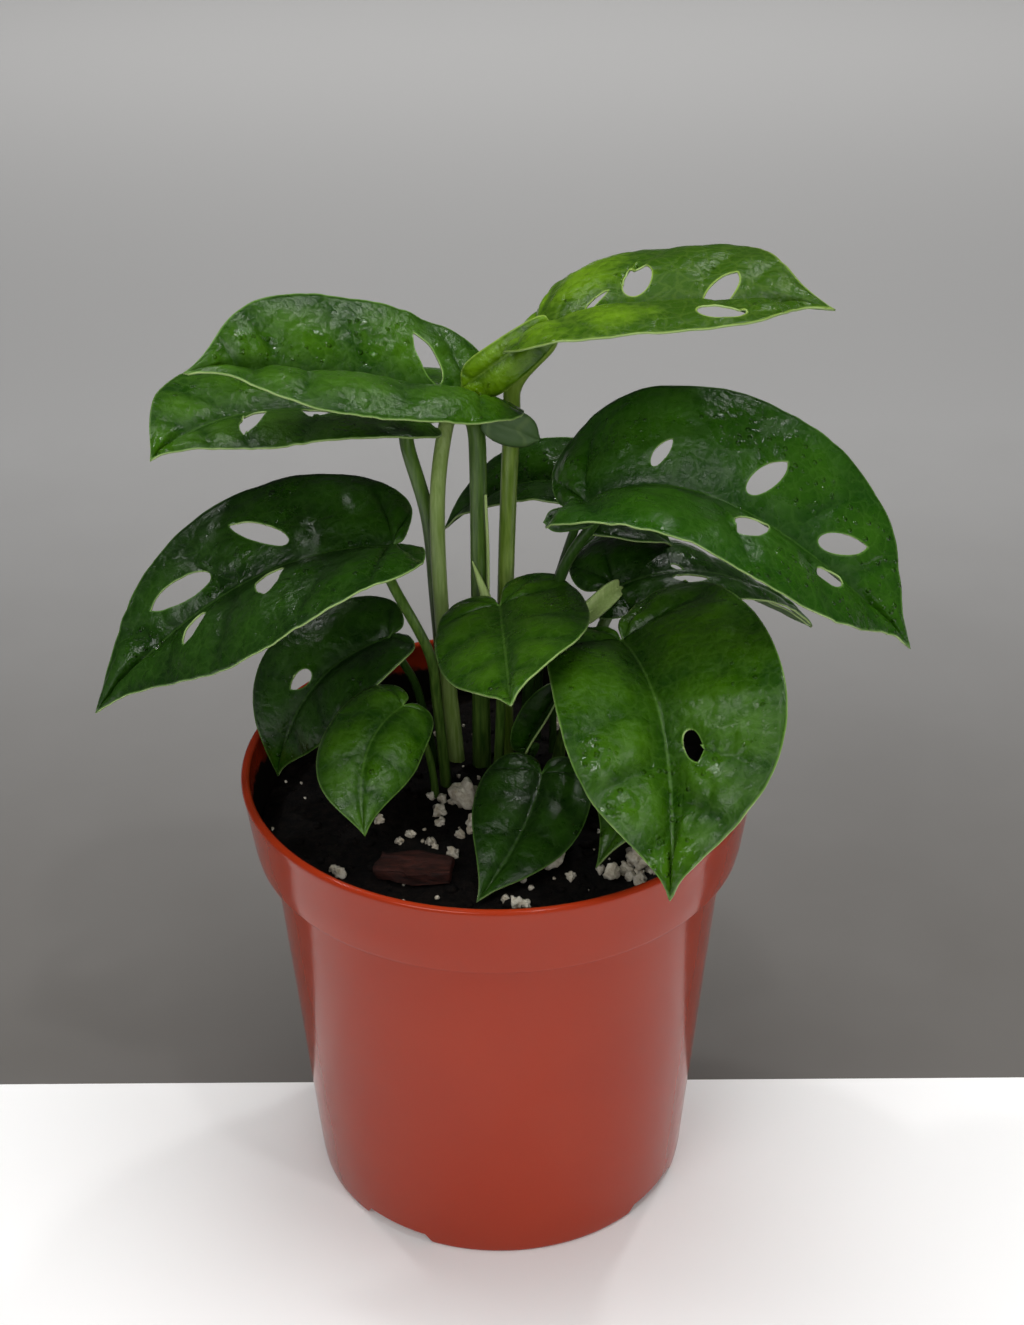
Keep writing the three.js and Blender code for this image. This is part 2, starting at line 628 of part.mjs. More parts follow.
function makeGrains() {
  GRAINS.forEach(({ x, y, radius }, i) => {
    const geometry = grain(radius, i);
    geometry.computeBoundingBox();
    const mesh = addMesh("perlite_" + (i + 1), geometry, material(COLOURS.perlite, 0.9));
    mesh.position.set(x, y, SOIL_TOP + GAP - geometry.boundingBox.min.z);
  });
}

function makeBark() {
  const chip = new THREE.BoxGeometry(CHIP.length, CHIP.width, CHIP.thick, 4, 3, 1);
  const positions = chip.attributes.position;
  for (let i = 0; i < positions.count; i += 1) {
    const [x, y, z] = [positions.getX(i), positions.getY(i), positions.getZ(i)];
    const taper = 1 - 0.5 * Math.abs(x) / CHIP.length;
    positions.setXYZ(i, x + 0.1 * y, y * taper, z + CHIP.warp * Math.sin(0.5 * x));
  }
  const mesh = addMesh("bark_chip", cut(chip, []), material(COLOURS.bark, 0.9));
  mesh.position.set(CHIP.x, CHIP.y, SOIL_TOP + GAP + CHIP.thick / 2 + CHIP.warp);
  mesh.rotation.set(0, 0, THREE.MathUtils.degToRad(CHIP.turn));
}

makePot();
makeSoil();
for (const leaf of LEAVES) {
  makeBlade(leaf);
  makeStalk(leaf);
}
makeSheath();
makeShoot();
makeGrains();
makeBark();

export default rootGroup;
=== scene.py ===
# The looks of a potted swiss cheese vine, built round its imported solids. Metres, +Z up.

import math
import random
from functools import partial

import bmesh
import bpy
from mathutils import Matrix, Vector, noise
from mathutils.kdtree import KDTree


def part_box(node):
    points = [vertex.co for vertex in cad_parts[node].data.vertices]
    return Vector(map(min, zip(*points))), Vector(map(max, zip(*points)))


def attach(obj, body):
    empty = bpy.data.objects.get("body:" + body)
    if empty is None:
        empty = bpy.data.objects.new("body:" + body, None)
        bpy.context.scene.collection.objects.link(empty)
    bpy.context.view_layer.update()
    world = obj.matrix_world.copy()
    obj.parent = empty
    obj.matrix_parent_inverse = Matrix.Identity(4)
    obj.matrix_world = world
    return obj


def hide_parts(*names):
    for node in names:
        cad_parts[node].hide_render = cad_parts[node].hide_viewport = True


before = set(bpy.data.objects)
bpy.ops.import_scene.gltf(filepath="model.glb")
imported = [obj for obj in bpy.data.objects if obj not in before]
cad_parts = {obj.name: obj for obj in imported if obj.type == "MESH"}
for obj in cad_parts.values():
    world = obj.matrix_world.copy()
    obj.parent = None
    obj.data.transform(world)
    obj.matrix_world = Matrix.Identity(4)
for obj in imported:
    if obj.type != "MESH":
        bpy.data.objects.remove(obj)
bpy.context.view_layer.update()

MM = 0.001
BODY = "root"

# Driving dimensions of the pot, in mm
RIM_RADIUS = 76
POT_HEIGHT = 142
FOOT_RADIUS = 57.5
WALL = 1.6
COLLAR_HEIGHT = 23.5
COLLAR_LOW_RADIUS = 72.8
BODY_TOP_RADIUS = 68
FOOT_RING_WIDTH = 3
FLOOR_RISE = 3.6
FLOOR_THICKNESS = 2
PAD_RADIUS = 9
FOOT_ROUNDING = 1.5
STEP_ROUNDING = 1.2
COLLAR_ROUNDING = 1.0
LIP_RADIUS = 1.3
NOTCH_COUNT = 4
NOTCH_FIRST_ANGLE = 56
NOTCH_WIDTH = 24
NOTCH_RISE = 3.5
NOTCH_SLOPE = 3.5
NOTCH_REACH = 12
DRAIN_COUNT = 6
DRAIN_RADIUS = 3
DRAIN_RING_RADIUS = 36
POT_SIDES = 192
SOILED_BAND = (3, 14)    # the heights over the mix between which the grime on the wall fades
SINK_MARKS = ((38, 0.12), (14, 0.03))    # spacing and depth of the faint waves in the moulded wall

# Driving dimensions of the potting mix, in mm
SOIL_TOP = 125
SOIL_CELLS = 170
SOIL_GAP = 0.4
FOOT_DEPTH = 12
LUMPS = ((9, 1.1, 3), (3.5, 0.9, 8))    # size, height and seed of the swells in its surface
CRUMB_SIZE = 1.6
CRUMB_HEIGHT = 0.7

# Driving dimensions shared by the leaves, in mm
BLADE_THICKNESS = 0.55
VEIN_SLANT = 0.45
VEIN_BOW = 1.25
CELL_LENGTH = 1.05
MIDRIB_CROWDING = 1.35
HOLE_POINTS = 14
LOBE_SHARE = 0.14
WIDEST_SHARE = 0.45

# Relief of the skin, in mm, or as a share of the leaf's quilt where it says so
SWELL_SIZE = 14
SWELL_SHARE = 0.45
PILLOW_SIZE = 6.5
PILLOW_SHARE = 0.85
CRINKLE_SIZE = 2.6
CRINKLE_SHARE = 0.11
VALLEY_DEPTH = 0.45
VALLEY_WIDTH = 1.6
RIDGE_HEIGHT = 0.15
RIDGE_WIDTH = 0.35
EDGE_WAVE = 0.5
EDGE_WAVE_LENGTH = 8

# Stalks, the new shoot and the drops, in mm
STALK_SIDES = 20
STALK_STEPS = 14
STALK_GROOVE = 0.16
STALK_GAP = 0.25
SPIKE_RADIUS = 1.7
SPIKE_STEPS = 24
SHEATH_WIDTH = 1.9
SHEATH_THICKNESS = 0.4
DROP_RADIUS = 0.35
DROP_GROWTH = 0.7
DROP_HEIGHT = 0.55    # as a share of the drop's radius
DROP_SPACING = 30    # how much of the radius of a wet place, squared, there is to one drop

# Smaller perlite grains that lie where they catch the eye, as place and radius
GRAIN_SEED = 7
PERLITE_PLACES = [
    (-16.6, 4.7, 1.5), (-17.4, -2, 1.9), (-20, 7.4, 1.3), (-17.2, -7.1, 1.4), (-13.4, -22.7, 1.7),
    (-15, -28.7, 1.5), (37.1, -31.3, 2.0), (40.9, -37.3, 1.8), (44.1, -30.4, 2.1), (41, -34, 1.6),
    (38.5, -35.5, 1.4), (-45.9, -32.3, 1.6), (-47.5, -30, 1.3), (5.2, -47.6, 1.7), (2.1, -46.1, 1.4),
    (8, -48.2, 1.2), (-35.2, -5.8, 1.5), (-26, -13.8, 1.3), (-20, -16.4, 1.5), (-11.2, -14, 1.4),
    (-28.8, -17.4, 1.2), (18.4, 68.2, 1.6), (29.6, -31.2, 1.3), (21, -36, 1.5),
]

# The floor's back edge, behind the pot's axis, and the viewpoint, in mm and degrees
FLOOR_EDGE = 23
SENSOR_WIDTH = 36
FOCAL_LENGTH = 67.92
CAMERA_PLACE = (4.5, -623.6, 544.9)
CAMERA_DIP = 30.62
CAMERA_ROLL = -0.39

# Each leaf: where its blade starts and ends, how the midrib rises and sways over the chord, and for its left
# and right half (seen from the base to the tip) the width, the back lobe, the fold up and the curl down.
# A hole lies so far along the midrib and out to the right of it. A stalk runs from its foot in the mix over
# the places in via to the blade. veins is the number of side veins on each half, quilt the height of the
# swellings between them, and wet lists wet places as distance along, out to the right, and radius. A part
# that is turned over has a row of its own.
LEAVES = [dict(
    name="top_left", skin="mid", tint="green", base=(-7.2, 23.2, 248.3), tip=(-83.2, -6, 270.3),
    arch=2.7, crest=0.51, sway=2, roll=-7, twist=-12, width=(29.5, 27), lobe=(11, 7),
    widest=0.34, full=0.82, fold=(36.5, 32.5), curl=(57, 12),
    holes=[(12.7, 10.5, 17, 5.6, 66)],
    foot=(-5, 26), via=[(-5, 25.2, 185), (-4.9, 25.3, 226), (-5.6, 24.8, 240)], stalk=2.8, neck=1,
    veins=5, quilt=1.5, wet=[(45, 9, 6), (30, 8, 5), (60, 8, 5)],
    turned=[dict(
        name="top_left_lobe", skin="under", base=(-2, 18, 244.4), tip=(13.2, 18, 238.3),
        arch=1, roll=90, width=(6.5, 5), widest=0.37, full=0.85, fold=(0, 0), curl=(10, 20), quilt=0.4,
    )],
), dict(
    name="under_left", skin="mid", tint="green", base=(-24, 37, 235), tip=(-96, 5, 239),
    arch=6, crest=0.62, sway=10, roll=2, twist=-18, width=(27, 28), lobe=(8, 9),
    widest=0.42, full=0.57, fold=(15, 16), curl=(26, 21),
    holes=[(45, -9.6, 17, 6.5, -40), (24, -6.5, 12, 7.6, -60)],
    foot=(-15, 35), via=[(-18, 36, 174), (-20, 36, 204)], stalk=2.4,
    veins=5, quilt=1.0, wet=[(74, 0, 6)],
), dict(
    name="top_right", skin="young", tint="bright", base=(12.8, 27.5, 265.9), tip=(94.7, 21.2, 276.1),
    arch=7.6, crest=0.18, sway=1.4, roll=-3, twist=9.7, width=(42, 30.4), lobe=(14, 4),
    widest=0.35, full=1.0, fold=(29, 22), curl=(64, 35),
    holes=[(42, -8.9, 13.2, 7.4, -72), (29, -3, 10.7, 2, -35), (61.9, -4, 14, 5.2, -65),
           (61.4, 17.1, 10.2, 8, -18)],
    foot=(2, 31), via=[(2.8, 30, 185), (4.8, 28, 238), (6, 27.5, 252)], stalk=2.7, neck=1,
    veins=6, quilt=1.1, tip_shade=0.6, wet=[(6, 8, 5)],
    turned=[dict(
        name="top_right_lobe", skin="young", base=(15, 22.5, 271.5), tip=(-9.4, 22, 252.7),
        arch=2, roll=-75, width=(7.8, 5.2), widest=0.68, full=0.9, fold=(4, 4), curl=(24, 24), quilt=0.6,
    )],
), dict(
    name="right", skin="deep", tint="dark", base=(26, 10, 222), tip=(119, -4, 182),
    arch=19, crest=0.2, roll=3, twist=13, width=(35, 35), lobe=(10, 7),
    widest=0.5, full=0.83, fold=(37, 18), curl=(17, 22),
    holes=[(28, -10, 10, 4, -58), (57.5, -12, 15, 5.5, -68), (57, 12.8, 15, 8, -62),
           (79.5, -8, 12, 5.2, -43), (79, 9.8, 9.3, 6, -68)],
    foot=(8, 20), via=[(10, 18, 160), (19.5, 13, 199)], stalk=1.8,
    veins=5, quilt=1.7,
    wet=[(46, -22, 9), (62, -18, 13), (84, -16, 12), (96, -2, 12), (88, 16, 11), (70, 20, 8)],
    turned=[dict(
        name="right_lobe", skin="dark", base=(28, 9, 218.5), tip=(13.6, 8, 217.3),
        arch=0.6, roll=-60, width=(3.4, 3.6), widest=0.6, full=0.95, fold=(4, 4), curl=(20, 20), quilt=0.3,
    )],
), dict(
    name="left", skin="dark", tint="green", base=(-29, 0, 214), tip=(-116, -9, 165),
    arch=11, crest=0.39, sway=4, roll=2, twist=-39, width=(39, 33), lobe=(11, 4),
    widest=0.28, full=0.59, fold=(12, 22), curl=(27, 7),
    holes=[(39.5, 13.2, 20, 6, 43), (65, 8.7, 18, 7.5, 5), (38, -10.8, 17, 9, -84),
           (65, -8.5, 11, 6, -43)],
    foot=(-16, 15), via=[(-18, 13, 155), (-20, 10, 174), (-30, 4, 201)], stalk=1.7,
    veins=5, quilt=1.4, wet=[(24, -14, 6), (56, 4, 5), (80, 2, 8)],
), dict(
    name="low_left", skin="dark", tint="dark", base=(-32, 20, 173), tip=(-66, 6, 133),
    arch=10, crest=0.44, sway=1, roll=-6, twist=-21, width=(19, 20), lobe=(5, 7),
    widest=0.42, full=0.59, fold=(12, 27), curl=(27, 13),
    holes=[(27.5, 4.5, 7.5, 4.6, 11)],
    foot=(-20, 27), via=[(-24, 26, 150), (-28, 23, 162)], stalk=1.4,
    veins=4, quilt=0.8,
), dict(
    name="small_left", skin="mid", tint="green", base=(-27, -9, 167), tip=(-37, -45, 146),
    arch=5, crest=0.45, sway=5, roll=-1, twist=-5, width=(15, 15), lobe=(4, 5),
    widest=0.42, full=0.61, fold=(5, 6), curl=(40, 30),
    foot=(-19, 8), via=[(-21, 6, 142), (-25, -2, 157)], stalk=1.2,
    veins=4, quilt=0.6, wet=[(26, -2, 4)],
), dict(
    name="centre", skin="mid", tint="green", base=(1, 5, 192), tip=(4, -58, 197),
    arch=-1, crest=0.47, roll=13, twist=15, width=(25, 20), lobe=(13, 7),
    widest=0.26, full=0.56, fold=(11, 3), curl=(26, 19),
    foot=(0, 14), via=[(1, 13, 150), (1.5, 9, 175)], stalk=1.6,
    veins=5, quilt=0.8, wet=[(52, 0, 8)],
), dict(
    name="front_right", skin="mid", tint="green", base=(36, -5, 186), tip=(46, -86, 153),
    arch=11, crest=0.44, sway=-5, roll=2, twist=13, width=(36, 29), lobe=(12, 9),
    widest=0.41, full=0.71, fold=(25, 17), curl=(10, 13),
    holes=[(51.7, -8, 10.8, 5.2, -13)],
    foot=(20, 6), via=[(25, 3, 150), (33, -2, 172)], stalk=1.8,
    veins=5, quilt=1.8,
    wet=[(80, 0, 11), (66, -2, 7), (56, 4, 6), (52, 20, 7), (66, 14, 6), (58, -12, 5)],
), dict(
    name="front", skin="dark", tint="dark", base=(13, -7, 142), tip=(-6, -49, 126),
    arch=2, crest=0.43, sway=-3, roll=-9, twist=-1, width=(16, 17), lobe=(7, 6),
    widest=0.27, full=0.56, fold=(11, 16), curl=(29, 25),
    foot=(10.5, 0), via=[(10.8, -0.6, 133)], stalk=1.3,
    veins=5, quilt=0.6,
), dict(
    name="behind", skin="dark", tint="dark", base=(28, 45, 209), tip=(-16, 55, 191),
    arch=6, crest=0.41, sway=4, roll=-1, twist=-10, width=(16, 17), lobe=(6, 6),
    widest=0.32, full=0.6, fold=(18, 30), curl=(23, 20),
    foot=(12, 41), via=[(14, 46, 160), (20, 49, 181), (24.5, 47, 197)], stalk=1.5,
    veins=4, quilt=0.7, wet=[(30, 0, 8)],
), dict(
    name="back_right", skin="dark", tint="green", base=(35.6, 31.8, 182.9), tip=(99.4, 60.8, 152.4),
    arch=14, crest=0.25, sway=2.4, roll=15, twist=-38, width=(30, 12), lobe=(12, 9),
    widest=0.31, full=0.59, fold=(9, -5), curl=(60, 15),
    holes=[(26.5, 3.8, 12.5, 3, 6), (23.5, -1.5, 4.5, 1.6, 21)],
    foot=(18, 22), via=[(24, 27, 150), (33, 35, 170)], stalk=1.9,
    veins=5, quilt=1.0, wet=[(0, 14, 12)],
    turned=[dict(
        name="back_right_edge", skin="under", base=(72, 54, 170), tip=(99, 60, 152.8),
        arch=1, roll=-40, width=(1.7, 2.4), widest=0.4, full=0.95, fold=(0, 0), curl=(10, 20), quilt=0.2,
    ), dict(
        name="back_right_wing", skin="pale", base=(36.5, 31, 183.5), tip=(22.5, 20, 176),
        arch=1, roll=-50, width=(3.3, 4), widest=0.5, full=0.8, fold=(20, 20), curl=(-20, -20), quilt=0.3,
    )],
), dict(
    name="small_back", skin="dark", tint="dark", base=(29, 46, 197.5), tip=(54, 46, 189),
    arch=3, crest=0.45, width=(10, 10), lobe=(3, 3),
    widest=0.35, full=0.6, fold=(10, 10), curl=(25, 25),
    foot=(17, 33), via=[(17.5, 39, 160), (19.3, 42.5, 183)], stalk=1.2,
    veins=3, quilt=0.4,
), dict(
    name="small_right", skin="mid", tint="green", base=(37, -12, 134), tip=(28, -37, 129),
    arch=8, crest=0.41, sway=-5, roll=3, twist=2, width=(9, 9), lobe=(3, 3),
    widest=0.27, full=0.53, fold=(14, 11), curl=(27, 31),
    foot=(35, -9), via=[(35.4, -9.6, 129.5)], stalk=1,
    veins=3, quilt=0.4,
), dict(
    name="folded", skin="dark", tint="dark", base=(9, 8, 141), tip=(24, 10, 167),
    arch=2, crest=0.4, roll=30, width=(7, 7), lobe=(2, 2),
    widest=0.4, full=0.6, fold=(50, 50), curl=(10, 10),
    foot=(6, 8), via=[(6.8, 8, 131)], stalk=1.1,
    veins=3, quilt=0.3,
), dict(
    name="rear", skin="mid", tint="pale", base=(-12, 43, 244), tip=(-14, 99, 216),
    arch=5, crest=0.4, twist=6, width=(16, 16), lobe=(6, 6),
    widest=0.32, full=0.6, fold=(14, 14), curl=(28, 28),
    foot=(-13, 28), via=[(-16.5, 29, 178), (-17, 31, 213), (-14.5, 36, 233)], stalk=2.5,
    veins=4, quilt=0.6,
)]

# What a leaf has when its own row doesn't say otherwise
PLAIN = dict(crest=0.5, sway=0, roll=0, twist=0, lobe=(1, 1), neck=2.5, veins=2, tip_shade=0,
             holes=[], wet=[], turned=[])
LEAVES = [{**PLAIN, **leaf} for leaf in LEAVES]


# Colours and nodes

def linear(colour):
    """The linear RGBA of an sRGB hex colour such as "#a0412b"."""
    parts = [int(colour[i:i + 2], 16) / 255 for i in (1, 3, 5)]
    return tuple(c / 12.92 if c <= 0.04045 else ((c + 0.055) / 1.055) ** 2.4 for c in parts) + (1,)


def per_mm(size):
    """The texture scale that gives one cell, or one swell of noise, every so many millimetres."""
    return 1 / (size * MM)


def feed(node, inputs):
    """Sets a node's inputs to values, or links them to the outputs that feed them."""
    for name, value in inputs.items():
        if isinstance(value, bpy.types.NodeSocket):
            node.id_data.links.new(value, node.inputs[name])
        else:
            node.inputs[name].default_value = value


def add_node(tree, kind, *values, out=0, **named):
    """Adds a node and returns one of its outputs. The values go to its inputs in order: MixRGB has a share
    and two colours, MapRange a value, the range it comes from and the range it goes to. A name in small
    letters is a property of the node, and any other an input, with an underscore for a space."""
    made = tree.nodes.new("ShaderNode" + kind)
    inputs = dict(enumerate(values))
    for name, value in named.items():
        if name.islower():
            setattr(made, name, value)
        else:
            inputs[name.replace("_", " ")] = value
    feed(made, inputs)
    return made.outputs[out] if made.outputs else None


def new_material(name):
    """An empty node material, and the function that adds a node to it."""
    made = bpy.data.materials.new(name)
    made.use_nodes = True
    return made, partial(add_node, made.node_tree)


def shade(made, **inputs):
    """Feeds the material's shader and returns the material."""
    shader = made.node_tree.nodes["Principled BSDF"]
    feed(shader, {name.replace("_", " "): value for name, value in inputs.items()})
    return made


# Materials

def polypropylene_moulded():
    """Terracotta-coloured polypropylene, injection moulded: an even colour under a smooth, glossy skin that
    mirrors the room softly, with faint sink marks and scuffs, and mix smeared on the inside of its rim."""
    made, add = new_material("polypropylene_moulded")
    place = add("TexCoord", out="Object")
    cloud = add("TexNoise", Vector=place, Scale=per_mm(45), Detail=3, Roughness=0.5)
    colour = add("MixRGB", cloud, linear("#8e280e"), linear("#9a3012"))
    scuff = add("TexNoise", Vector=place, Scale=per_mm(6), Detail=6, Roughness=0.7)
    gloss = add("MapRange", scuff, 0.4, 0.75, 0.13, 0.24)
    soiled = add("Attribute", attribute_name="soiled", out="Fac")
    smear = add("Math", scuff, 0.9, soiled, operation="MULTIPLY_ADD")
    dirt = add("MapRange", smear, 0.75, 1)
    dirty = add("MixRGB", dirt, colour, linear("#0d0a08"))
    dulled = add("MapRange", dirt, 0, 1, gloss, 0.8)
    grain = add("TexNoise", Vector=place, Scale=per_mm(0.7), Detail=2)
    relief = add("Bump", Height=grain, Strength=0.25, Distance=0.02 * MM)
    return shade(made, Base_Color=dirty, Roughness=dulled, Normal=relief, IOR=1.49, Specular_IOR_Level=0.3)


def peat_mix():
    """Damp peat and fibre: nearly black, matte, crumbly, with a few brown threads."""
    made, add = new_material("peat_mix")
    place = add("TexCoord", out="Object")
    crumb = add("TexNoise", Vector=place, Scale=per_mm(2.2), Detail=6, Roughness=0.7)
    share = add("MapRange", crumb, 0.42, 0.75)
    colour = add("MixRGB", share, linear("#050404"), linear("#1b1410"))
    relief = add("Bump", Height=crumb, Strength=0.9, Distance=0.8 * MM)
    return shade(made, Base_Color=colour, Roughness=0.9, Normal=relief, Specular_IOR_Level=0.25)


def perlite_expanded():
    """Expanded perlite: white volcanic glass foam, chalky and pitted, a little dirty in its hollows."""
    made, add = new_material("perlite_expanded")
    place = add("TexCoord", out="Object")
    pits = add("TexVoronoi", Vector=place, Scale=per_mm(0.9), Smoothness=0.4, feature="SMOOTH_F1")
    dirt = add("TexNoise", Vector=place, Scale=per_mm(2.5), Detail=5, Roughness=0.7)
    share = add("MapRange", dirt, 0.4, 0.7)
    colour = add("MixRGB", share, linear("#d8d2c2"), linear("#a89a80"))
    relief = add("Bump", Height=pits, Strength=0.8, Distance=0.4 * MM)
    return shade(made, Base_Color=colour, Roughness=0.85, Normal=relief)


def pine_bark():
    """Composted pine bark: red-brown, layered, rough and damp."""
    made, add = new_material("pine_bark")
    place = add("TexCoord", out="Object")
    stretched = add("Mapping", Vector=place, Scale=(1, 3, 4))
    layers = add("TexNoise", Vector=stretched, Scale=per_mm(5), Detail=7, Roughness=0.75)
    share = add("MapRange", layers, 0.35, 0.7)
    colour = add("MixRGB", share, linear("#140806"), linear("#4a2219"))
    relief = add("Bump", Height=layers, Strength=0.9, Distance=0.8 * MM)
    return shade(made, Base_Color=colour, Roughness=0.75, Normal=relief)


def leaf_cuticle(name, deep, light, vein):
    """The waxy upper skin of an aroid leaf: deep green, lighter and yellower on its swellings as painted
    light and darker towards the tip where a leaf asks for it as painted shade, with a net of fine veins, a
    thin pale midrib and edge, a satin gloss, and a wet film with beads of water in patches."""
    made, add = new_material(name)
    smooth = {"interpolation_type": "SMOOTHSTEP"}
    place = add("TexCoord", out="Object")
    from_rim, from_rib, swell, wetness, painted_tip_shade = [
        add("Attribute", attribute_name=mark, out="Fac")
        for mark in ("rim_mm", "midrib_mm", "swell", "wet", "painted_tip_shade")]

    # Flesh, its net of veins, the midrib and the edge
    blotch = add("TexNoise", Vector=place, Scale=per_mm(11), Detail=5, Roughness=0.65)
    fleck = add("TexNoise", Vector=place, Scale=per_mm(2.6), Detail=4, Roughness=0.6)
    mottle = add("Math", fleck, 0.5, blotch, operation="MULTIPLY_ADD")
    # Painted shade: the skin is darkened towards the tip of a leaf that has a tip shade.
    mottle_tip_shaded = add("Math", mottle, painted_tip_shade, operation="SUBTRACT")
    # Painted light: the domes between the side veins are made lighter and yellower, which leaves the valleys
    # between them darker.
    mottle_and_painted_light = add("Math", swell, 0.4, mottle_tip_shaded, operation="MULTIPLY_ADD")
    share = add("MapRange", mottle_and_painted_light, 0.65, 1.25)
    flesh = add("MixRGB", share, linear(deep), linear(light))
    clouds = blotch.node.outputs["Color"]
    bend = add("VectorMath", clouds, (6 * MM, 6 * MM, 6 * MM), place, operation="MULTIPLY_ADD")
    net = add("TexVoronoi", Vector=bend, Scale=per_mm(4.2), feature="DISTANCE_TO_EDGE")
    thread = add("MapRange", net, 0, 0.12, 0.08, 0, **smooth)
    veined = add("MixRGB", thread, flesh, linear(vein))
    near_rib = add("MapRange", from_rib, 0.15, 0.4, 0.2, 0)
    ribbed = add("MixRGB", near_rib, veined, linear(vein))
    near_rim = add("MapRange", from_rim, 0.15, 0.5, 0.8, 0)
    colour = add("MixRGB", near_rim, ribbed, linear(vein))

    # Gloss: dry skin, damp patches and the places that are wet
    film = add("TexNoise", Vector=place, Scale=per_mm(5), Detail=5, Roughness=0.7)
    patch = add("TexNoise", Vector=place, Scale=per_mm(16), Detail=3, Roughness=0.6)
    damp = add("MapRange", patch, 0.5, 0.64, 0.1, 0.55, **smooth)
    soaked = add("Math", damp, wetness, operation="MAXIMUM")
    ragged = add("Math", soaked, 0.5, film, operation="MULTIPLY_ADD")
    filmed = add("MapRange", ragged, 0.68, 0.86, **smooth)
    dry = add("MapRange", fleck, 0.35, 0.65, 0.27, 0.4)
    gloss = add("MapRange", filmed, 0, 1, dry, 0.1)

    # Relief: cells, beads of water and the pillows between the fine veins
    cells = add("TexVoronoi", Vector=place, Scale=per_mm(1.8), Smoothness=0.7, feature="SMOOTH_F1")
    beads = add("TexVoronoi", Vector=place, Scale=per_mm(2.9), Randomness=1, feature="F1")
    bead = add("MapRange", beads, 0.1, 0.32, 1, 0, **smooth)
    wet_bead = add("Math", bead, filmed, operation="MULTIPLY")
    pillow = add("MapRange", net, 0, 0.35, **smooth)
    uneven = add("Math", pillow, 0.35, fleck, operation="MULTIPLY_ADD")
    quilted = add("Bump", Height=uneven, Strength=0.7, Distance=0.5 * MM)
    skin = add("Bump", Height=cells, Strength=0.4, Distance=0.12 * MM, Normal=quilted)
    relief = add("Bump", Height=wet_bead, Strength=1, Distance=0.7 * MM, Normal=skin)
    return shade(made, Base_Color=colour, Roughness=gloss, Normal=relief, IOR=1.45)


def leaf_underside():
    """The lower skin of the leaf: greyer and paler green, more matte, with the veins standing out."""
    made, add = new_material("leaf_underside")
    place = add("TexCoord", out="Object")
    from_vein = add("Attribute", attribute_name="lateral_mm", out="Fac")
    blotch = add("TexNoise", Vector=place, Scale=per_mm(9), Detail=5, Roughness=0.6)
    flesh = add("MixRGB", blotch, linear("#35502a"), linear("#4c6538"))
    near_vein = add("MapRange", from_vein, 0.2, 0.8, 0.25, 0)
    colour = add("MixRGB", near_vein, flesh, linear("#6f844c"))
    cells = add("TexVoronoi", Vector=place, Scale=per_mm(1.2), Smoothness=0.5, feature="SMOOTH_F1")
    relief = add("Bump", Height=cells, Strength=0.3, Distance=0.1 * MM)
    return shade(made, Base_Color=colour, Roughness=0.5, Normal=relief)


def leaf_margin():
    """The thin, gristly edge of the leaf: translucent yellow-green, smooth."""
    made, add = new_material("leaf_margin")
    place = add("TexCoord", out="Object")
    blotch = add("TexNoise", Vector=place, Scale=per_mm(7), Detail=3)
    colour = add("MixRGB", blotch, linear("#6f8a45"), linear("#a3b878"))
    return shade(made, Base_Color=colour, Roughness=0.35)


def stalk_skin(name, low, high, line):
    """The smooth skin of a leaf stalk: darker at its foot as painted shade of the crowded crown, paler and
    yellower to the top, with fine lines.
    """
    made, add = new_material(name)
    place = add("TexCoord", out="Object")
    along = add("Attribute", attribute_name="height_share", out="Fac")
    # Painted shade: the skin darkens towards the foot of the stalk, where the crowded stalks at the crown
    # stand in shade.
    base = add("MixRGB", along, linear(low), linear(high))
    stretched = add("Mapping", Vector=place, Scale=(1, 1, 0.08))
    lines = add("TexNoise", Vector=stretched, Scale=per_mm(0.8), Detail=3)
    share = add("MapRange", lines, 0.35, 0.7, 0, 0.4)
    colour = add("MixRGB", share, base, linear(line))
    relief = add("Bump", Height=lines, Strength=0.3, Distance=0.15 * MM)
    return shade(made, Base_Color=colour, Roughness=0.35, Normal=relief)


def sheath_membrane():
    """The papery sheath of a new leaf: pale yellow-green, thin, with fine lines along it."""
    made, add = new_material("sheath_membrane")
    place = add("TexCoord", out="Object")
    stretched = add("Mapping", Vector=place, Scale=(1, 1, 0.1))
    lines = add("TexNoise", Vector=stretched, Scale=per_mm(0.6), Detail=3)
    colour = add("MixRGB", lines, linear("#6f8c3a"), linear("#b3c583"))
    return shade(made, Base_Color=colour, Roughness=0.45)


def water_drop():
    """Clean water standing in a drop: clear, with a bright point of light."""
    made, _ = new_material("water_drop")
    return shade(made, Base_Color=(1, 1, 1, 1), Roughness=0.02, IOR=1.33, Transmission_Weight=1)


def floor_card():
    """Matte white card."""
    made, add = new_material("floor_card")
    place = add("TexCoord", out="Object")
    cloud = add("TexNoise", Vector=place, Scale=per_mm(300), Detail=2)
    colour = add("MixRGB", cloud, linear("#fbfbfa"), linear("#fdfdfc"))
    return shade(made, Base_Color=colour, Roughness=0.7)


def backdrop_cloth():
    """Plain grey cloth, dull, with painted light that makes it lighter towards its far end."""
    made, add = new_material("backdrop_cloth")
    place = add("TexCoord", out="Object")
    cloud = add("TexNoise", Vector=place, Scale=per_mm(60), Detail=5)
    distance = add("SeparateXYZ", place, out="Y")
    # Painted light: the cloth is made lighter from near the pot to its far end, brightening the backdrop as
    # if lit.
    painted_far_light = add("MapRange", distance, 0.02, 0.62, interpolation_type="SMOOTHSTEP")
    blotch_and_painted_light = add("Math", cloud, 0.12, painted_far_light, operation="MULTIPLY_ADD")
    colour = add("MixRGB", blotch_and_painted_light, linear("#64615d"), linear("#a5a4a3"))
    return shade(made, Base_Color=colour, Roughness=0.9)


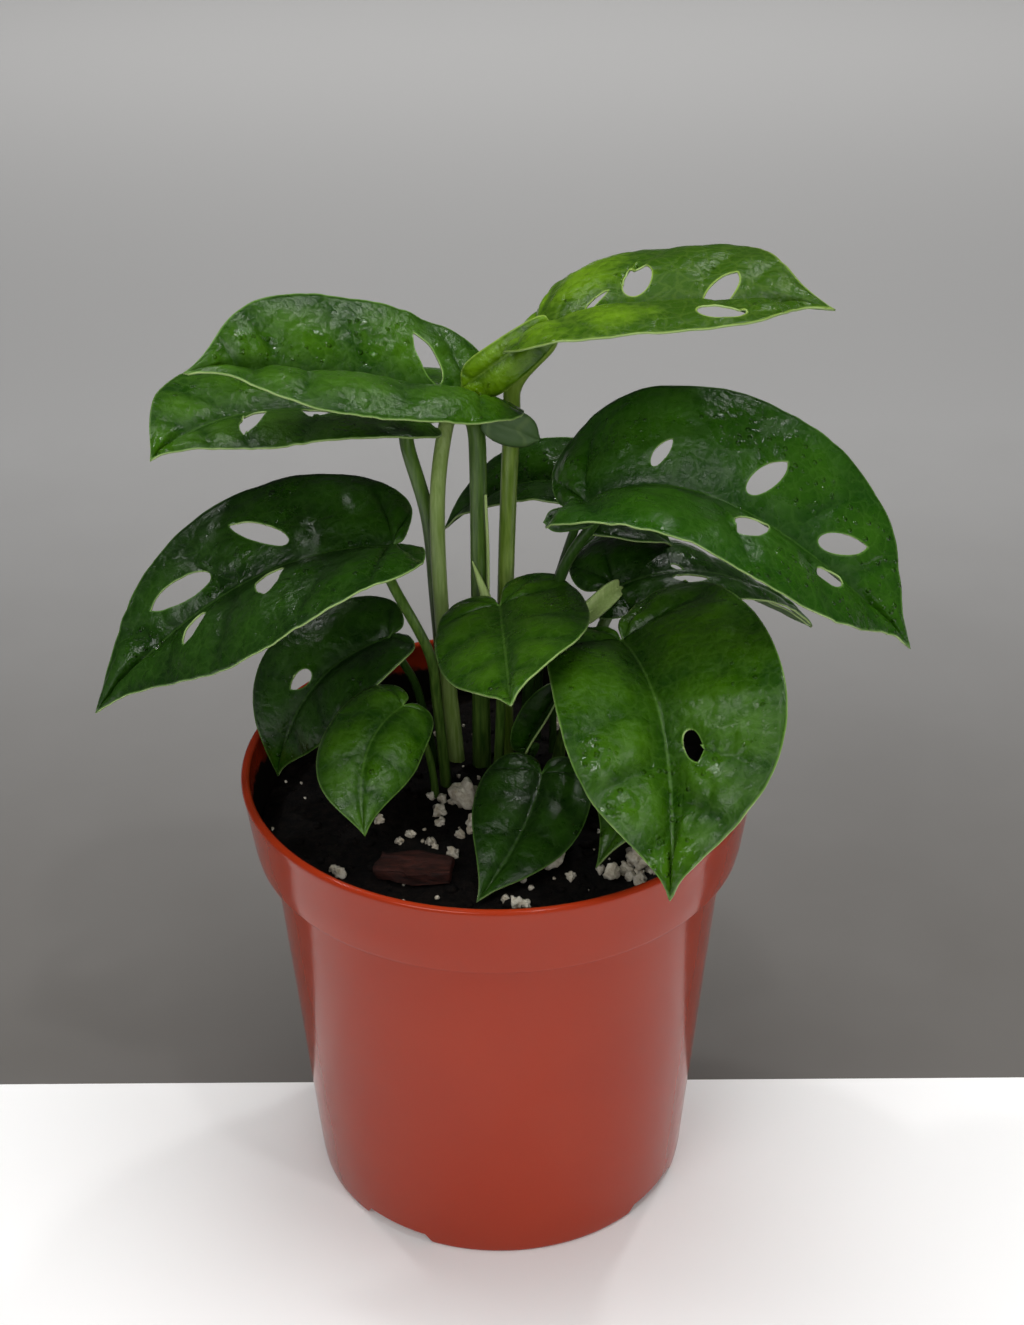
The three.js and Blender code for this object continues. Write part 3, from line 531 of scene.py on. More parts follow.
UNDERSIDE = leaf_underside()
MARGIN = leaf_margin()
SHEATH = sheath_membrane()
SKINS = {
    # The dark skin is partly painted shade: its colours are darker for the leaves low in the plant and inside
    # it, where shade falls, and partly their own deeper green.
    "dark": leaf_cuticle("leaf_cuticle_dark", "#0e2803", "#1f4105", "#4f7330"),
    "deep": leaf_cuticle("leaf_cuticle_deep", "#153903", "#284f09", "#557a34"),
    "mid": leaf_cuticle("leaf_cuticle_mid", "#163603", "#325706", "#5f8338"),
    "young": leaf_cuticle("leaf_cuticle_young", "#2c4c02", "#628808", "#86a044"),
    "under": UNDERSIDE,
    "pale": SHEATH,
}
STALK_SKINS = {
    "dark": stalk_skin("stalk_skin_dark", "#0f2108", "#2a4a12", "#3d5c22"),
    "green": stalk_skin("stalk_skin_green", "#16300a", "#42621d", "#6f8a3e"),
    "bright": stalk_skin("stalk_skin_bright", "#3c5a10", "#6c8628", "#93a856"),
    "pale": stalk_skin("stalk_skin_pale", "#4f6c24", "#8aa052", "#a9bb7c"),
}
PERLITE = perlite_expanded()
BARK = pine_bark()
PEAT = peat_mix()
POT_PLASTIC = polypropylene_moulded()
WATER = water_drop()


# Pieces

def add_object(name, data):
    """Puts a new object of a mesh, light or camera in the scene."""
    made = bpy.data.objects.new(name, data)
    bpy.context.scene.collection.objects.link(made)
    return made


def mesh_object(name, mesh_data, materials=()):
    """Makes an object of a finished bmesh and frees the bmesh."""
    mesh = bpy.data.meshes.new(name)
    mesh_data.to_mesh(mesh)
    mesh_data.free()
    for material in materials:
        mesh.materials.append(material)
    return add_object(name, mesh)


def add_piece(name, mesh_data, materials, nodes=()):
    """Makes an object of a finished bmesh, in mm, and ties it to the body and its nodes."""
    bmesh.ops.scale(mesh_data, vec=(MM, MM, MM), verts=mesh_data.verts)
    piece = mesh_object(name, mesh_data, materials)
    piece.data.shade_smooth()
    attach(piece, BODY)
    if nodes:
        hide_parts(*nodes)
    return piece


def thicken(piece, thickness):
    """Gives a sheet its thickness, in mm, half to each side."""
    thick = piece.modifiers.new("thickness", "SOLIDIFY")
    thick.thickness = thickness * MM
    thick.offset = 0
    return thick


def extrude(target, edges):
    """Extrudes a border and returns the edges and vertices that it grew."""
    grown = bmesh.ops.extrude_edge_only(target, edges=edges)["geom"]
    return [[g for g in grown if isinstance(g, kind)] for kind in (bmesh.types.BMEdge, bmesh.types.BMVert)]


def smoothstep(low, high, value):
    share = min(max((value - low) / (high - low), 0), 1)
    return share * share * (3 - 2 * share)


# Pot

def spin_profile(profile, sides):
    """A closed body spun from an outline of radius and height that starts and ends on the axis."""
    body = bmesh.new()
    corners = [body.verts.new((radius, 0, height)) for radius, height in profile]
    edges = [body.edges.new(pair) for pair in zip(corners, corners[1:])]
    bmesh.ops.spin(body, geom=corners + edges, cent=(0, 0, 0), axis=(0, 0, 1),
                   angle=2 * math.pi, steps=sides, use_merge=True)
    bmesh.ops.remove_doubles(body, verts=body.verts, dist=1e-4)
    bmesh.ops.recalc_face_normals(body, faces=body.faces)
    return body


def arc(centre, radius, start, end, steps):
    """Points on an arc in the profile's plane, angles in degrees from the outward direction."""
    angles = [math.radians(start + (end - start) * i / steps) for i in range(steps + 1)]
    return [(centre[0] + radius * math.cos(a), centre[1] + radius * math.sin(a)) for a in angles]


def pot_profile():
    """The pot's section: foot ring, body, step under the collar, collar, rolled lip, inner wall, floor."""
    step = POT_HEIGHT - COLLAR_HEIGHT
    ring = FOOT_RADIUS - FOOT_RING_WIDTH
    floor_top = FLOOR_RISE + FLOOR_THICKNESS
    slant = (BODY_TOP_RADIUS - FOOT_RADIUS) / step
    wall = [(FOOT_RADIUS + slant * h, h) for h in range(4, int(step) - 2, 4)]
    collar_slant = (RIM_RADIUS - COLLAR_LOW_RADIUS) / COLLAR_HEIGHT
    collar = [(COLLAR_LOW_RADIUS + collar_slant * h, step + h) for h in (4, 8, 12, 16, 19)]
    return (
        [(0, 0), (PAD_RADIUS, 0), (PAD_RADIUS + 1, FLOOR_RISE), (ring, FLOOR_RISE)]
        + [(ring, 0.4), (ring + 0.4, 0)]
        + arc((FOOT_RADIUS - FOOT_ROUNDING, FOOT_ROUNDING), FOOT_ROUNDING, -90, 0, 4)
        + wall
        + arc((BODY_TOP_RADIUS + 1.1, step - STEP_ROUNDING), STEP_ROUNDING, 180, 100, 4)
        + arc((COLLAR_LOW_RADIUS - 1.1, step + COLLAR_ROUNDING), COLLAR_ROUNDING, -80, 0, 4)
        + collar
        + arc((RIM_RADIUS - LIP_RADIUS, POT_HEIGHT - LIP_RADIUS), LIP_RADIUS, -10, 180, 10)
        + [(COLLAR_LOW_RADIUS - WALL + collar_slant * h, step + 2 * WALL + h) for h in (17.7, 13, 8, 4, 0)]
        + [(BODY_TOP_RADIUS - WALL, step - 0.5)]
        + [(FOOT_RADIUS - WALL + 0.6, floor_top + 2), (FOOT_RADIUS - WALL - 1.4, floor_top), (0, floor_top)]
    )


def notch_cutter(angle):
    """A wedge through the foot ring, wider at the surface that the pot stands on."""
    tool = bmesh.new()
    bmesh.ops.create_cube(tool, size=1)
    for vert in tool.verts:
        width = NOTCH_WIDTH - NOTCH_SLOPE if vert.co.z > 0 else NOTCH_WIDTH + NOTCH_SLOPE
        vert.co = (vert.co.x * width, vert.co.y * NOTCH_REACH, NOTCH_RISE if vert.co.z > 0 else -1)
    centre = Vector((0, -FOOT_RADIUS + 3 * FOOT_RING_WIDTH - NOTCH_REACH / 2, 0))
    bmesh.ops.translate(tool, vec=centre, verts=tool.verts)
    turn = Matrix.Rotation(math.radians(angle), 3, "Z")
    bmesh.ops.rotate(tool, cent=(0, 0, 0), matrix=turn, verts=tool.verts)
    return tool


def drain_cutter(index):
    """A round rod through the floor."""
    angle = (index + 0.5) * 2 * math.pi / DRAIN_COUNT
    tool = bmesh.new()
    bmesh.ops.create_cone(tool, cap_ends=True, segments=24, radius1=DRAIN_RADIUS, radius2=DRAIN_RADIUS,
                          depth=FLOOR_THICKNESS + 4)
    place = (DRAIN_RING_RADIUS * math.cos(angle), DRAIN_RING_RADIUS * math.sin(angle), FLOOR_RISE + 1)
    bmesh.ops.translate(tool, vec=place, verts=tool.verts)
    return tool


def cut_away(body, tools):
    """The body less the tools, as a new bmesh."""
    whole = mesh_object("body", body)
    tools = [mesh_object("tool", tool) for tool in tools]
    for tool in tools:
        cut = whole.modifiers.new("cut", "BOOLEAN")
        cut.operation = "DIFFERENCE"
        cut.solver = "EXACT"
        cut.object = tool
    result = bmesh.new()
    result.from_object(whole, bpy.context.evaluated_depsgraph_get())
    for item in [whole, *tools]:
        bpy.data.objects.remove(item)
    return result


def make_pot():
    """The pot with its notches and drain holes, grime on the inside of its rim, and a slightly wavy wall."""
    body = spin_profile(pot_profile(), POT_SIDES)
    tools = [notch_cutter(NOTCH_FIRST_ANGLE + i * 360 / NOTCH_COUNT) for i in range(NOTCH_COUNT)]
    tools += [drain_cutter(i) for i in range(DRAIN_COUNT)]
    pot = cut_away(body, tools)
    soiled = pot.verts.layers.float.new("soiled")
    for vert in pot.verts:
        radius = vert.co.xy.length
        above = vert.co.z - SOIL_TOP
        inside = above > -6 and radius < COLLAR_LOW_RADIUS - WALL / 2 + 0.13 * above
        vert[soiled] = inside * (1 - smoothstep(*SOILED_BAND, above))
        if vert.co.z < 6 or radius < 1:
            continue
        wave = sum(noise.noise(vert.co / spacing) * depth for spacing, depth in SINK_MARKS)
        vert.co.xy *= (radius + wave) / radius
    piece = add_piece("nursery_pot", pot, [POT_PLASTIC], ["pot"])
    piece.data.set_sharp_from_angle(angle=math.radians(40))
    return piece


# Potting mix

def mix_height(x, y):
    """Height of the mix over a place, in mm: crumbs, dips, and a fall towards the wall."""
    radius = math.hypot(x, y)
    fall = 1.6 * smoothstep(50, 70, radius)
    lumps = sum(height * noise.noise(Vector((x, y, seed)) / size) for size, height, seed in LUMPS)
    crumbs = CRUMB_HEIGHT * abs(noise.noise(Vector((x, y, 15)) / CRUMB_SIZE))
    return SOIL_TOP - 1 - fall + lumps + crumbs


def make_mix():
    """A fine crumbly surface on a closed body that fills the pot."""
    body = bmesh.new()
    bmesh.ops.create_grid(body, x_segments=SOIL_CELLS, y_segments=SOIL_CELLS, size=1)
    edge = COLLAR_LOW_RADIUS - WALL - SOIL_GAP
    for vert in body.verts:
        x, y = vert.co.x, vert.co.y
        reach = max(abs(x), abs(y))
        length = math.hypot(x, y) or 1
        place = Vector((x, y)) * (edge * reach / length)
        vert.co = (place.x, place.y, mix_height(place.x, place.y))
    border = [e for e in body.edges if e.is_boundary]
    floor = FLOOR_RISE + FLOOR_THICKNESS + SOIL_GAP
    step = POT_HEIGHT - COLLAR_HEIGHT
    shoulder = BODY_TOP_RADIUS - WALL - SOIL_GAP
    for height, radius in ((step + 3.4, edge), (step - 0.7, shoulder), (floor, FOOT_RADIUS - WALL - 1.6)):
        border, grown = extrude(body, border)
        for vert in grown:
            vert.co.xy *= radius / vert.co.xy.length
            vert.co.z = height
    bmesh.ops.contextual_create(body, geom=border)
    bmesh.ops.recalc_face_normals(body, faces=body.faces)
    return add_piece("potting_mix_surface", body, [PEAT], ["potting_mix"])


def lump(target, place, size, seed, rounds=2, flat=1.0, rough=0.28):
    """Adds one irregular grain to the bmesh."""
    made = bmesh.ops.create_icosphere(target, subdivisions=rounds, radius=1)["verts"]
    turn = Matrix.Rotation(seed * 2.4, 3, "Z") @ Matrix.Rotation(seed * 1.3, 3, "X")
    for vert in made:
        swell = 1 + rough * noise.noise(vert.co * 1.4 + Vector((seed, 0, seed))) * 2
        co = turn @ (vert.co * swell * size)
        vert.co = Vector((co.x, co.y, co.z * flat)) + place
    return made


def scattered(count, inner, outer, seed):
    """Seeded places on the mix between two radii, as x and y in mm."""
    draw = random.Random(seed)
    places = []
    for _ in range(count):
        radius = math.sqrt(draw.uniform(inner ** 2, outer ** 2))
        angle = draw.uniform(0, 2 * math.pi)
        places.append((radius * math.cos(angle), radius * math.sin(angle), draw.random()))
    return places


def make_crumbs():
    """Loose crumbs of peat and small chips on the mix."""
    crumbs = bmesh.new()
    for i, (x, y, chance) in enumerate(scattered(420, 4, 68, 11)):
        size = 0.5 + 1.6 * chance ** 3
        lump(crumbs, Vector((x, y, mix_height(x, y) + 0.2 * size)), size, i * 0.37, rounds=1, flat=0.7)
    return add_piece("peat_crumbs", crumbs, [PEAT])


def make_perlite():
    """The six large grains where their nodes are, and the fine ones strewn over the mix."""
    noise.seed_set(GRAIN_SEED)    # every run roughens the grains in the same way
    for index in range(1, 7):
        low, high = (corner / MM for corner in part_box(f"perlite_{index}"))
        grain = bmesh.new()
        lump(grain, (low + high) / 2, (high - low).x / 2 * 0.92, index * 1.7, rounds=4, rough=0.3)
        for vert in grain.verts:
            vert.co += 0.4 * noise.noise_vector(vert.co / 1.1) + 0.2 * noise.noise_vector(vert.co / 0.5)
        add_piece(f"perlite_grain_{index}", grain, [PERLITE], [f"perlite_{index}"])
    fines = bmesh.new()
    strewn = [(x, y, 0.4 + 1.1 * chance ** 2.5) for x, y, chance in scattered(90, 8, 69, 5)]
    for i, (x, y, size) in enumerate(strewn):
        lump(fines, Vector((x, y, mix_height(x, y) + 0.45 * size)), size, i * 0.61, rounds=1, rough=0.4)
    for i, (x, y, size) in enumerate(PERLITE_PLACES):
        place = Vector((x, y, mix_height(x, y) + 0.5 * size))
        for vert in lump(fines, place, size, i * 0.83, rounds=3, rough=0.4):
            vert.co += 0.22 * size * noise.noise_vector(vert.co / (0.5 * size))
    add_piece("perlite_fines", fines, [PERLITE])


def make_bark():
    """The chip of bark: a layered flake, narrower at its ends."""
    low, high = (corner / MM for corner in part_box("bark_chip"))
    centre = (low + high) / 2
    chip = bmesh.new()
    bmesh.ops.create_cube(chip, size=1)
    bmesh.ops.subdivide_edges(chip, edges=chip.edges, cuts=15, use_grid_fill=True)
    size = high - low
    for vert in chip.verts:
        taper = 1 - 0.45 * abs(vert.co.x)
        place = Vector((vert.co.x * size.x, vert.co.y * size.y * taper, vert.co.z * size.z * 0.8))
        ridge = 0.9 * noise.noise(Vector((place.x / 9, place.y / 2.2, place.z / 3)))
        edge = 1.2 * noise.noise(place / 4)
        vert.co = place + Vector((edge, edge * 0.8, ridge)) + centre
    bmesh.ops.rotate(chip, cent=centre, matrix=Matrix.Rotation(math.radians(-8), 3, "Z"), verts=chip.verts)
    return add_piece("pine_bark_chip", chip, [BARK], ["bark_chip"])


# Leaves

class Blade:
    """The curved surface of one leaf. Its flat coordinates run along the midrib from the stalk (u) and out to
    the right of it (v), in mm."""

    def __init__(self, leaf):
        self.leaf = leaf
        self.base, self.tip = Vector(leaf["base"]), Vector(leaf["tip"])
        chord = self.tip - self.base
        self.length = chord.length
        chord.normalize()
        level = chord.cross(Vector((0, 0, 1))).normalized()
        roll = math.radians(leaf["roll"])
        self.normal = level.cross(chord) * math.cos(roll) + level * math.sin(roll)
        self.right = chord.cross(self.normal)
        self.crown = (self.base + chord * self.length * leaf["crest"] + self.normal * 2 * leaf["arch"]
                      + self.right * 2 * leaf["sway"])

    def frame(self, u):
        """The place on the midrib, and the directions out to the right, up and along."""
        share = u / self.length
        t = min(max(share, 0), 1)
        point = self.base * (1 - t) ** 2 + self.crown * 2 * t * (1 - t) + self.tip * t ** 2
        along = ((self.crown - self.base) * (1 - t) + (self.tip - self.crown) * t).normalized()
        point += along * min(share, 0) * self.length
        twist = math.radians(self.leaf["twist"]) * (t - 0.3)
        turned = self.normal * math.cos(twist) + self.right * math.sin(twist)
        out = along.cross(turned).normalized()
        return point, out, out.cross(along), along

    def place(self, u, v, lift=0.0):
        """The place in space of a flat coordinate, lifted off the surface."""
        half = 1 if v >= 0 else 0
        side = 1 if v >= 0 else -1
        point, out, up, _ = self.frame(u)
        fold = math.radians(self.leaf["fold"][half])
        curl = math.radians(self.leaf["curl"][half]) * abs(v) / self.leaf["width"][half]
        rise, slope = fold - 0.5 * curl, fold - curl
        return (point + out * side * (abs(v) * math.cos(rise) - lift * math.sin(slope))
                + up * (abs(v) * math.sin(rise) + lift * math.cos(slope)))

    def outline(self, half, share):
        """The half outline from the notch at the stalk round the back lobe to the tip."""
        width, lobe = self.leaf["width"][half], self.leaf["lobe"][half]
        wide = self.leaf["widest"] * self.length
        rest = self.length - wide
        if share < LOBE_SHARE:
            points = [(-0.62 * lobe, 0.07 * width), (-0.85 * lobe, 0.1 * width), (-lobe, 0.22 * width),
                      (-lobe, 0.42 * width)]
            t = share / LOBE_SHARE
        elif share < WIDEST_SHARE:
            points = [(-lobe, 0.42 * width), (-lobe, 0.8 * width), (wide - 0.55 * (wide + lobe), width),
                      (wide, width)]
            t = (share - LOBE_SHARE) / (WIDEST_SHARE - LOBE_SHARE)
        else:
            points = [(wide, width), (wide + self.leaf["full"] * rest, width),
                      (wide + 0.72 * rest, 0.3 * width), (self.length, 0)]
            t = (share - WIDEST_SHARE) / (1 - WIDEST_SHARE)
        weights = ((1 - t) ** 3, 3 * t * (1 - t) ** 2, 3 * t * t * (1 - t), t ** 3)
        return tuple(sum(w * p[axis] for w, p in zip(weights, points)) for axis in (0, 1))

    def vein_root(self, half, share):
        """How far along the midrib the side vein starts that ends at this share of the half outline."""
        edge = self.outline(half, share)
        return max(0, edge[0] - VEIN_SLANT * edge[1])


def vein_breaks(leaf, half):
    """The shares of the half outline where the side veins end, with the notch and the tip."""
    draw = random.Random(leaf["name"] + str(half))
    count = leaf["veins"]
    shift = 0.0 if half else 0.35
    inner = [(k + 1 - shift * (k + 1) / (count + 1) + draw.uniform(-0.12, 0.12)) / (count + 1)
             for k in range(count)]
    return [0] + inner + [1]


def flat_sheet(blade):
    """The blade's outline laid flat, as a grid whose rows follow the side veins. Each vertex keeps how far it
    is between two veins, which gap between veins it is in, and its share of the way out to the edge."""
    leaf = blade.leaf
    gaps = leaf["veins"] + 1
    row_count = gaps * max(4, round(1.25 * blade.length / CELL_LENGTH / gaps))
    column_count = 2 * max(8, round(max(leaf["width"]) / CELL_LENGTH))
    sheet = bmesh.new()
    bmesh.ops.create_grid(sheet, x_segments=column_count, y_segments=row_count, size=1)
    between = sheet.verts.layers.float.new("between")
    gap_index = sheet.verts.layers.float.new("gap")
    outward = sheet.verts.layers.float.new("outward")
    breaks = [vein_breaks(leaf, 0), vein_breaks(leaf, 1)]
    for vert in sheet.verts:
        across, row = vert.co.x, (vert.co.y + 1) / 2 * gaps
        index = min(int(row + 1e-6), gaps - 1)
        part = row - index
        shares = [breaks[half][index] * (1 - part) + breaks[half][index + 1] * part for half in (0, 1)]
        roots = [blade.vein_root(half, shares[half]) for half in (0, 1)]
        half = 1 if across > 0 else 0
        edge = blade.outline(half, shares[half])
        q = abs(across) ** MIDRIB_CROWDING
        middle = (roots[0] + roots[1]) / 2
        root = middle + (roots[half] - middle) * min(q * 4, 1)
        vert.co = (root + (edge[0] - roots[half]) * q ** VEIN_BOW, (1 if half else -1) * edge[1] * q, 0)
        vert[between] = part
        vert[gap_index] = index + gaps * half
        vert[outward] = q
    bmesh.ops.remove_doubles(sheet, verts=sheet.verts, dist=1e-4)
    return sheet


def hole_outline(at, out, long, wide, turn):
    """A lens with one blunt end, as points round it in flat coordinates."""
    half_long, half_wide, angle = long / 2, wide / 2, math.radians(turn)
    points = []
    for sign, steps in ((1, range(HOLE_POINTS)), (-1, range(HOLE_POINTS, 0, -1))):
        for step in steps:
            t = step / HOLE_POINTS
            x = half_long * (-(1 - t) ** 3 - 3 * t * (1 - t) ** 2 + 1.5 * t * t * (1 - t) + t ** 3)
            y = sign * half_wide * (3.75 * t * (1 - t) ** 2 + 4.35 * t * t * (1 - t))
            points.append(Vector((at + x * math.cos(angle) + y * math.sin(angle),
                                  out + x * math.sin(angle) - y * math.cos(angle), 0)))
    return points


def cut_hole(sheet, points):
    """Cuts a bulging outline out of the flat sheet, one straight side after another."""
    centre = sum(points, Vector()) / len(points)
    reach = max((point - centre).length for point in points) + 2 * CELL_LENGTH
    inside = [f for f in sheet.faces if (f.calc_center_median() - centre).length < reach]
    for start, end in zip(points, points[1:] + points[:1]):
        side = end - start
        away = Vector((side.y, -side.x, 0))
        if away.dot(centre - start) > 0:
            away.negate()
        edges = dict.fromkeys(e for f in inside for e in f.edges)
        verts = dict.fromkeys(v for f in inside for v in f.verts)
        cut = bmesh.ops.bisect_plane(sheet, geom=[*verts, *edges, *inside], dist=1e-5, plane_co=start,
                                     plane_no=away)
        faces = [g for g in cut["geom"] if isinstance(g, bmesh.types.BMFace)]
        inside = [f for f in faces if away.dot(f.calc_center_median() - start) < 0]
    bmesh.ops.delete(sheet, geom=inside, context="FACES")


def rim_tree(sheet):
    """Points along the sheet's open edges, for measuring how far a place is from the nearest one."""
    points = []
    for edge in sheet.edges:
        if edge.is_boundary:
            a, b = edge.verts[0].co, edge.verts[1].co
            steps = max(1, int((b - a).length / 0.3))
            points += [a.lerp(b, i / steps) for i in range(steps + 1)]
    tree = KDTree(len(points))
    for i, point in enumerate(points):
        tree.insert(point, i)
    tree.balance()
    return tree


def dome_height(part, q):
    """The swelling between two side veins, from 0 at the veins and the edge to 1."""
    return (1 - abs(2 * part - 1) ** 2.2) * smoothstep(0.02, 0.35, q) * (1 - 0.8 * smoothstep(0.65, 1, q))


def relief_height(leaf, u, v, part, gap, q, seed):
    """How far the skin swells over the plain surface: domes between the side veins, pillows between the fine
    veins, a valley along the midrib with a fine ridge in it, and a wavy edge."""
    vary = 0.6 + 0.8 * random.Random(f"{seed}{gap}").random()
    height = leaf["quilt"] * vary * dome_height(part, q)
    height += SWELL_SHARE * leaf["quilt"] * q * noise.noise(Vector((u / SWELL_SIZE, v / SWELL_SIZE, seed)))
    pillow = abs(noise.noise(Vector((u / PILLOW_SIZE, v / PILLOW_SIZE, seed + 7))))
    height += PILLOW_SHARE * leaf["quilt"] * smoothstep(0.05, 0.4, q) * (1 - 0.4 * q) * pillow
    crinkle = noise.noise(Vector((u / CRINKLE_SIZE, v / CRINKLE_SIZE, seed + 3)))
    height += CRINKLE_SHARE * leaf["quilt"] * crinkle
    height -= VALLEY_DEPTH * math.exp(-(v / VALLEY_WIDTH) ** 2)
    height += RIDGE_HEIGHT * math.exp(-(v / RIDGE_WIDTH) ** 2)
    height += EDGE_WAVE * smoothstep(0.75, 1, q) * noise.noise(Vector((u / EDGE_WAVE_LENGTH, seed, 0)))
    return height


def make_blade(leaf, index, node):
    """The finished leaf: cut flat, measured, bent to its shape with its relief, and given its thickness. A
    part of it that is turned over is a sheet of its own, grown into it."""
    for part in leaf["turned"]:
        make_blade({**PLAIN, **part}, index, node)
    blade = Blade(leaf)
    sheet = flat_sheet(blade)
    for hole in leaf["holes"]:
        cut_hole(sheet, hole_outline(*hole))
    loose = [v for v in sheet.verts if not v.link_faces]
    bmesh.ops.delete(sheet, geom=loose, context="VERTS")
    bmesh.ops.triangulate(sheet, faces=[f for f in sheet.faces if len(f.verts) > 4])
    between = sheet.verts.layers.float["between"]
    gap_index = sheet.verts.layers.float["gap"]
    outward = sheet.verts.layers.float["outward"]
    marks = {name: sheet.verts.layers.float.new(name)
             for name in ("rim_mm", "midrib_mm", "lateral_mm", "swell", "wet", "painted_tip_shade")}
    rim = rim_tree(sheet)
    spacing = blade.length / (leaf["veins"] + 1)
    placed = []
    for vert in sheet.verts:
        u, v = vert.co.x, vert.co.y
        part, gap, q = vert[between], round(vert[gap_index]), vert[outward]
        vert[marks["rim_mm"]] = rim.find(vert.co)[2]
        vert[marks["midrib_mm"]] = abs(v)
        vein_ends = part in (0, 1) and q > 0.97
        vert[marks["lateral_mm"]] = min(part, 1 - part) * spacing + 4 * vein_ends
        vert[marks["wet"]] = max([0] + [1 - smoothstep(0.5 * radius, radius, math.hypot(u - at, v - out))
                                        for at, out, radius in leaf["wet"]])
        vert[marks["swell"]] = dome_height(part, q)
        # Painted shade: how far the skin is darkened, rising from a quarter to three quarters of the way to
        # the tip.
        vert[marks["painted_tip_shade"]] = leaf["tip_shade"] * smoothstep(0.25, 0.75, u / blade.length)
        placed.append(blade.place(u, v, relief_height(leaf, u, v, part, gap, q, index * 3.1)))
    for vert, place in zip(sheet.verts, placed):
        vert.co = place
    bmesh.ops.recalc_face_normals(sheet, faces=sheet.faces)
    centre = blade.place(blade.length / 2, 3)
    middle = min(sheet.faces, key=lambda f: (f.calc_center_median() - centre).length)
    if middle.normal.dot(blade.frame(blade.length / 2)[2]) < 0:
        bmesh.ops.reverse_faces(sheet, faces=sheet.faces)
    skins = [SKINS[leaf["skin"]], UNDERSIDE, MARGIN]
    piece = add_piece("blade_" + leaf["name"], sheet, skins, [node])
    thick = thicken(piece, BLADE_THICKNESS)
    thick.material_offset = 1
    thick.material_offset_rim = 2


# Stalks

def smooth_path(points, steps):
    """A Catmull-Rom line through the points."""
    ends = [points[0] * 2 - points[1]] + points + [points[-1] * 2 - points[-2]]
    path = []
    for a, b, c, d in zip(ends, ends[1:], ends[2:], ends[3:]):
        for step in range(steps):
            t = step / steps
            path.append(0.5 * (2 * b + (c - a) * t + (2 * a - 5 * b + 4 * c - d) * t * t
                               + (3 * b - a - 3 * c + d) * t ** 3))
    return path + [points[-1]]


def sweep(target, path, radii, sides, groove=0.0):
    """Sweeps a ring along a path, with a radius at each place and a shallow groove along one side."""
    share_layer = target.verts.layers.float.new("height_share")
    ring = bmesh.ops.create_circle(target, cap_ends=False, radius=1, segments=sides)["verts"]
    shape = [v.co.copy() for v in ring]
    along = (path[1] - path[0]).normalized()
    side = along.orthogonal().normalized()
    edges = list(dict.fromkeys(e for v in ring for e in v.link_edges))
    first = edges
    for i, (place, radius) in enumerate(zip(path, radii)):
        if i:
            edges = [e for e in extrude(target, edges)[0] if e.is_boundary]
            along = (path[min(i + 1, len(path) - 1)] - path[i - 1]).normalized()
            side = (side - along * side.dot(along)).normalized()
            ring = ring_of(edges, ring)
        up = along.cross(side)
        for vert, flat in zip(ring, shape):
            dent = 1 - groove * math.exp(-((math.atan2(flat.y, flat.x)) / 0.5) ** 2)
            vert.co = place + (side * flat.x + up * flat.y) * radius * dent
            vert[share_layer] = i / (len(path) - 1)
    bmesh.ops.contextual_create(target, geom=edges)
    bmesh.ops.contextual_create(target, geom=first)


def ring_of(edges, last):
    """The new ring's vertices in the order of the last ring, which they were grown from."""
    fresh = {v for e in edges for v in e.verts}
    return [next(e.other_vert(v) for e in v.link_edges if e.other_vert(v) in fresh) for v in last]


def make_stalk(leaf):
    """A leaf stalk: stout at its foot, slimmer above, with the swollen bend under the blade."""
    blade = Blade(leaf)
    point, _, up, _ = blade.frame(0)
    clear = BLADE_THICKNESS / 2 + STALK_GAP
    radius = leaf["stalk"]
    x, y = leaf["foot"]
    points = [Vector((x, y, SOIL_TOP - FOOT_DEPTH)), Vector((x, y, SOIL_TOP + 1))]
    points += [Vector(place) for place in leaf["via"]]
    points += [point - up * (clear + leaf["neck"] * radius), point - up * clear]
    path = smooth_path(points, STALK_STEPS)
    radii = []
    for i in range(len(path)):
        share = i / (len(path) - 1)
        foot = 0.25 * (1 - smoothstep(0, 0.35, share))
        knee = 0.12 * smoothstep(0.84, 0.92, share)
        radii.append(radius * (0.92 + foot + knee))
    stalk = bmesh.new()
    sweep(stalk, path, radii, STALK_SIDES, STALK_GROOVE)
    bmesh.ops.recalc_face_normals(stalk, faces=stalk.faces)
    skin = STALK_SKINS[leaf["tint"]]
    add_piece("petiole_" + leaf["name"], stalk, [skin], ["stalk_" + leaf["name"]])


def make_shoot():
    """The new leaf, still a rolled spike, and the open sheath behind it."""
    low, high = (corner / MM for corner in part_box("new_shoot"))
    spike = bmesh.new()
    depth = (low.y + high.y) / 2
    start, end = Vector((high.x - 2.0, depth, low.z + 0.6)), Vector((low.x + 0.4, depth, high.z - 0.2))
    shares = [i / SPIKE_STEPS for i in range(SPIKE_STEPS + 1)]
    path = [start.lerp(end, share) for share in shares]
    radii = [SPIKE_RADIUS * (1 - share ** 1.6) + 0.12 for share in shares]
    sweep(spike, path, radii, 16, groove=0.2)
    bmesh.ops.recalc_face_normals(spike, faces=spike.faces)
    add_piece("new_leaf_spike", spike, [SHEATH], ["new_shoot"])

    low, high = (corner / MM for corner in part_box("sheath"))
    middle = (low + high) / 2
    skin = bmesh.new()
    bmesh.ops.create_grid(skin, x_segments=10, y_segments=48, size=1)
    for vert in skin.verts:
        share, across = (vert.co.y + 1) / 2, vert.co.x
        width = SHEATH_WIDTH * (1 - smoothstep(0.55, 1, share)) + 0.15
        cup = 0.9 * (across * across - 0.5)
        vert.co = (middle.x + cup * 0.7 + 0.5 * math.sin(share * 3), middle.y + across * width * 0.6,
                   low.z + (high.z - low.z) * share)
    bmesh.ops.recalc_face_normals(skin, faces=skin.faces)
    thicken(add_piece("sheath_membrane", skin, [SHEATH], ["sheath"]), SHEATH_THICKNESS)


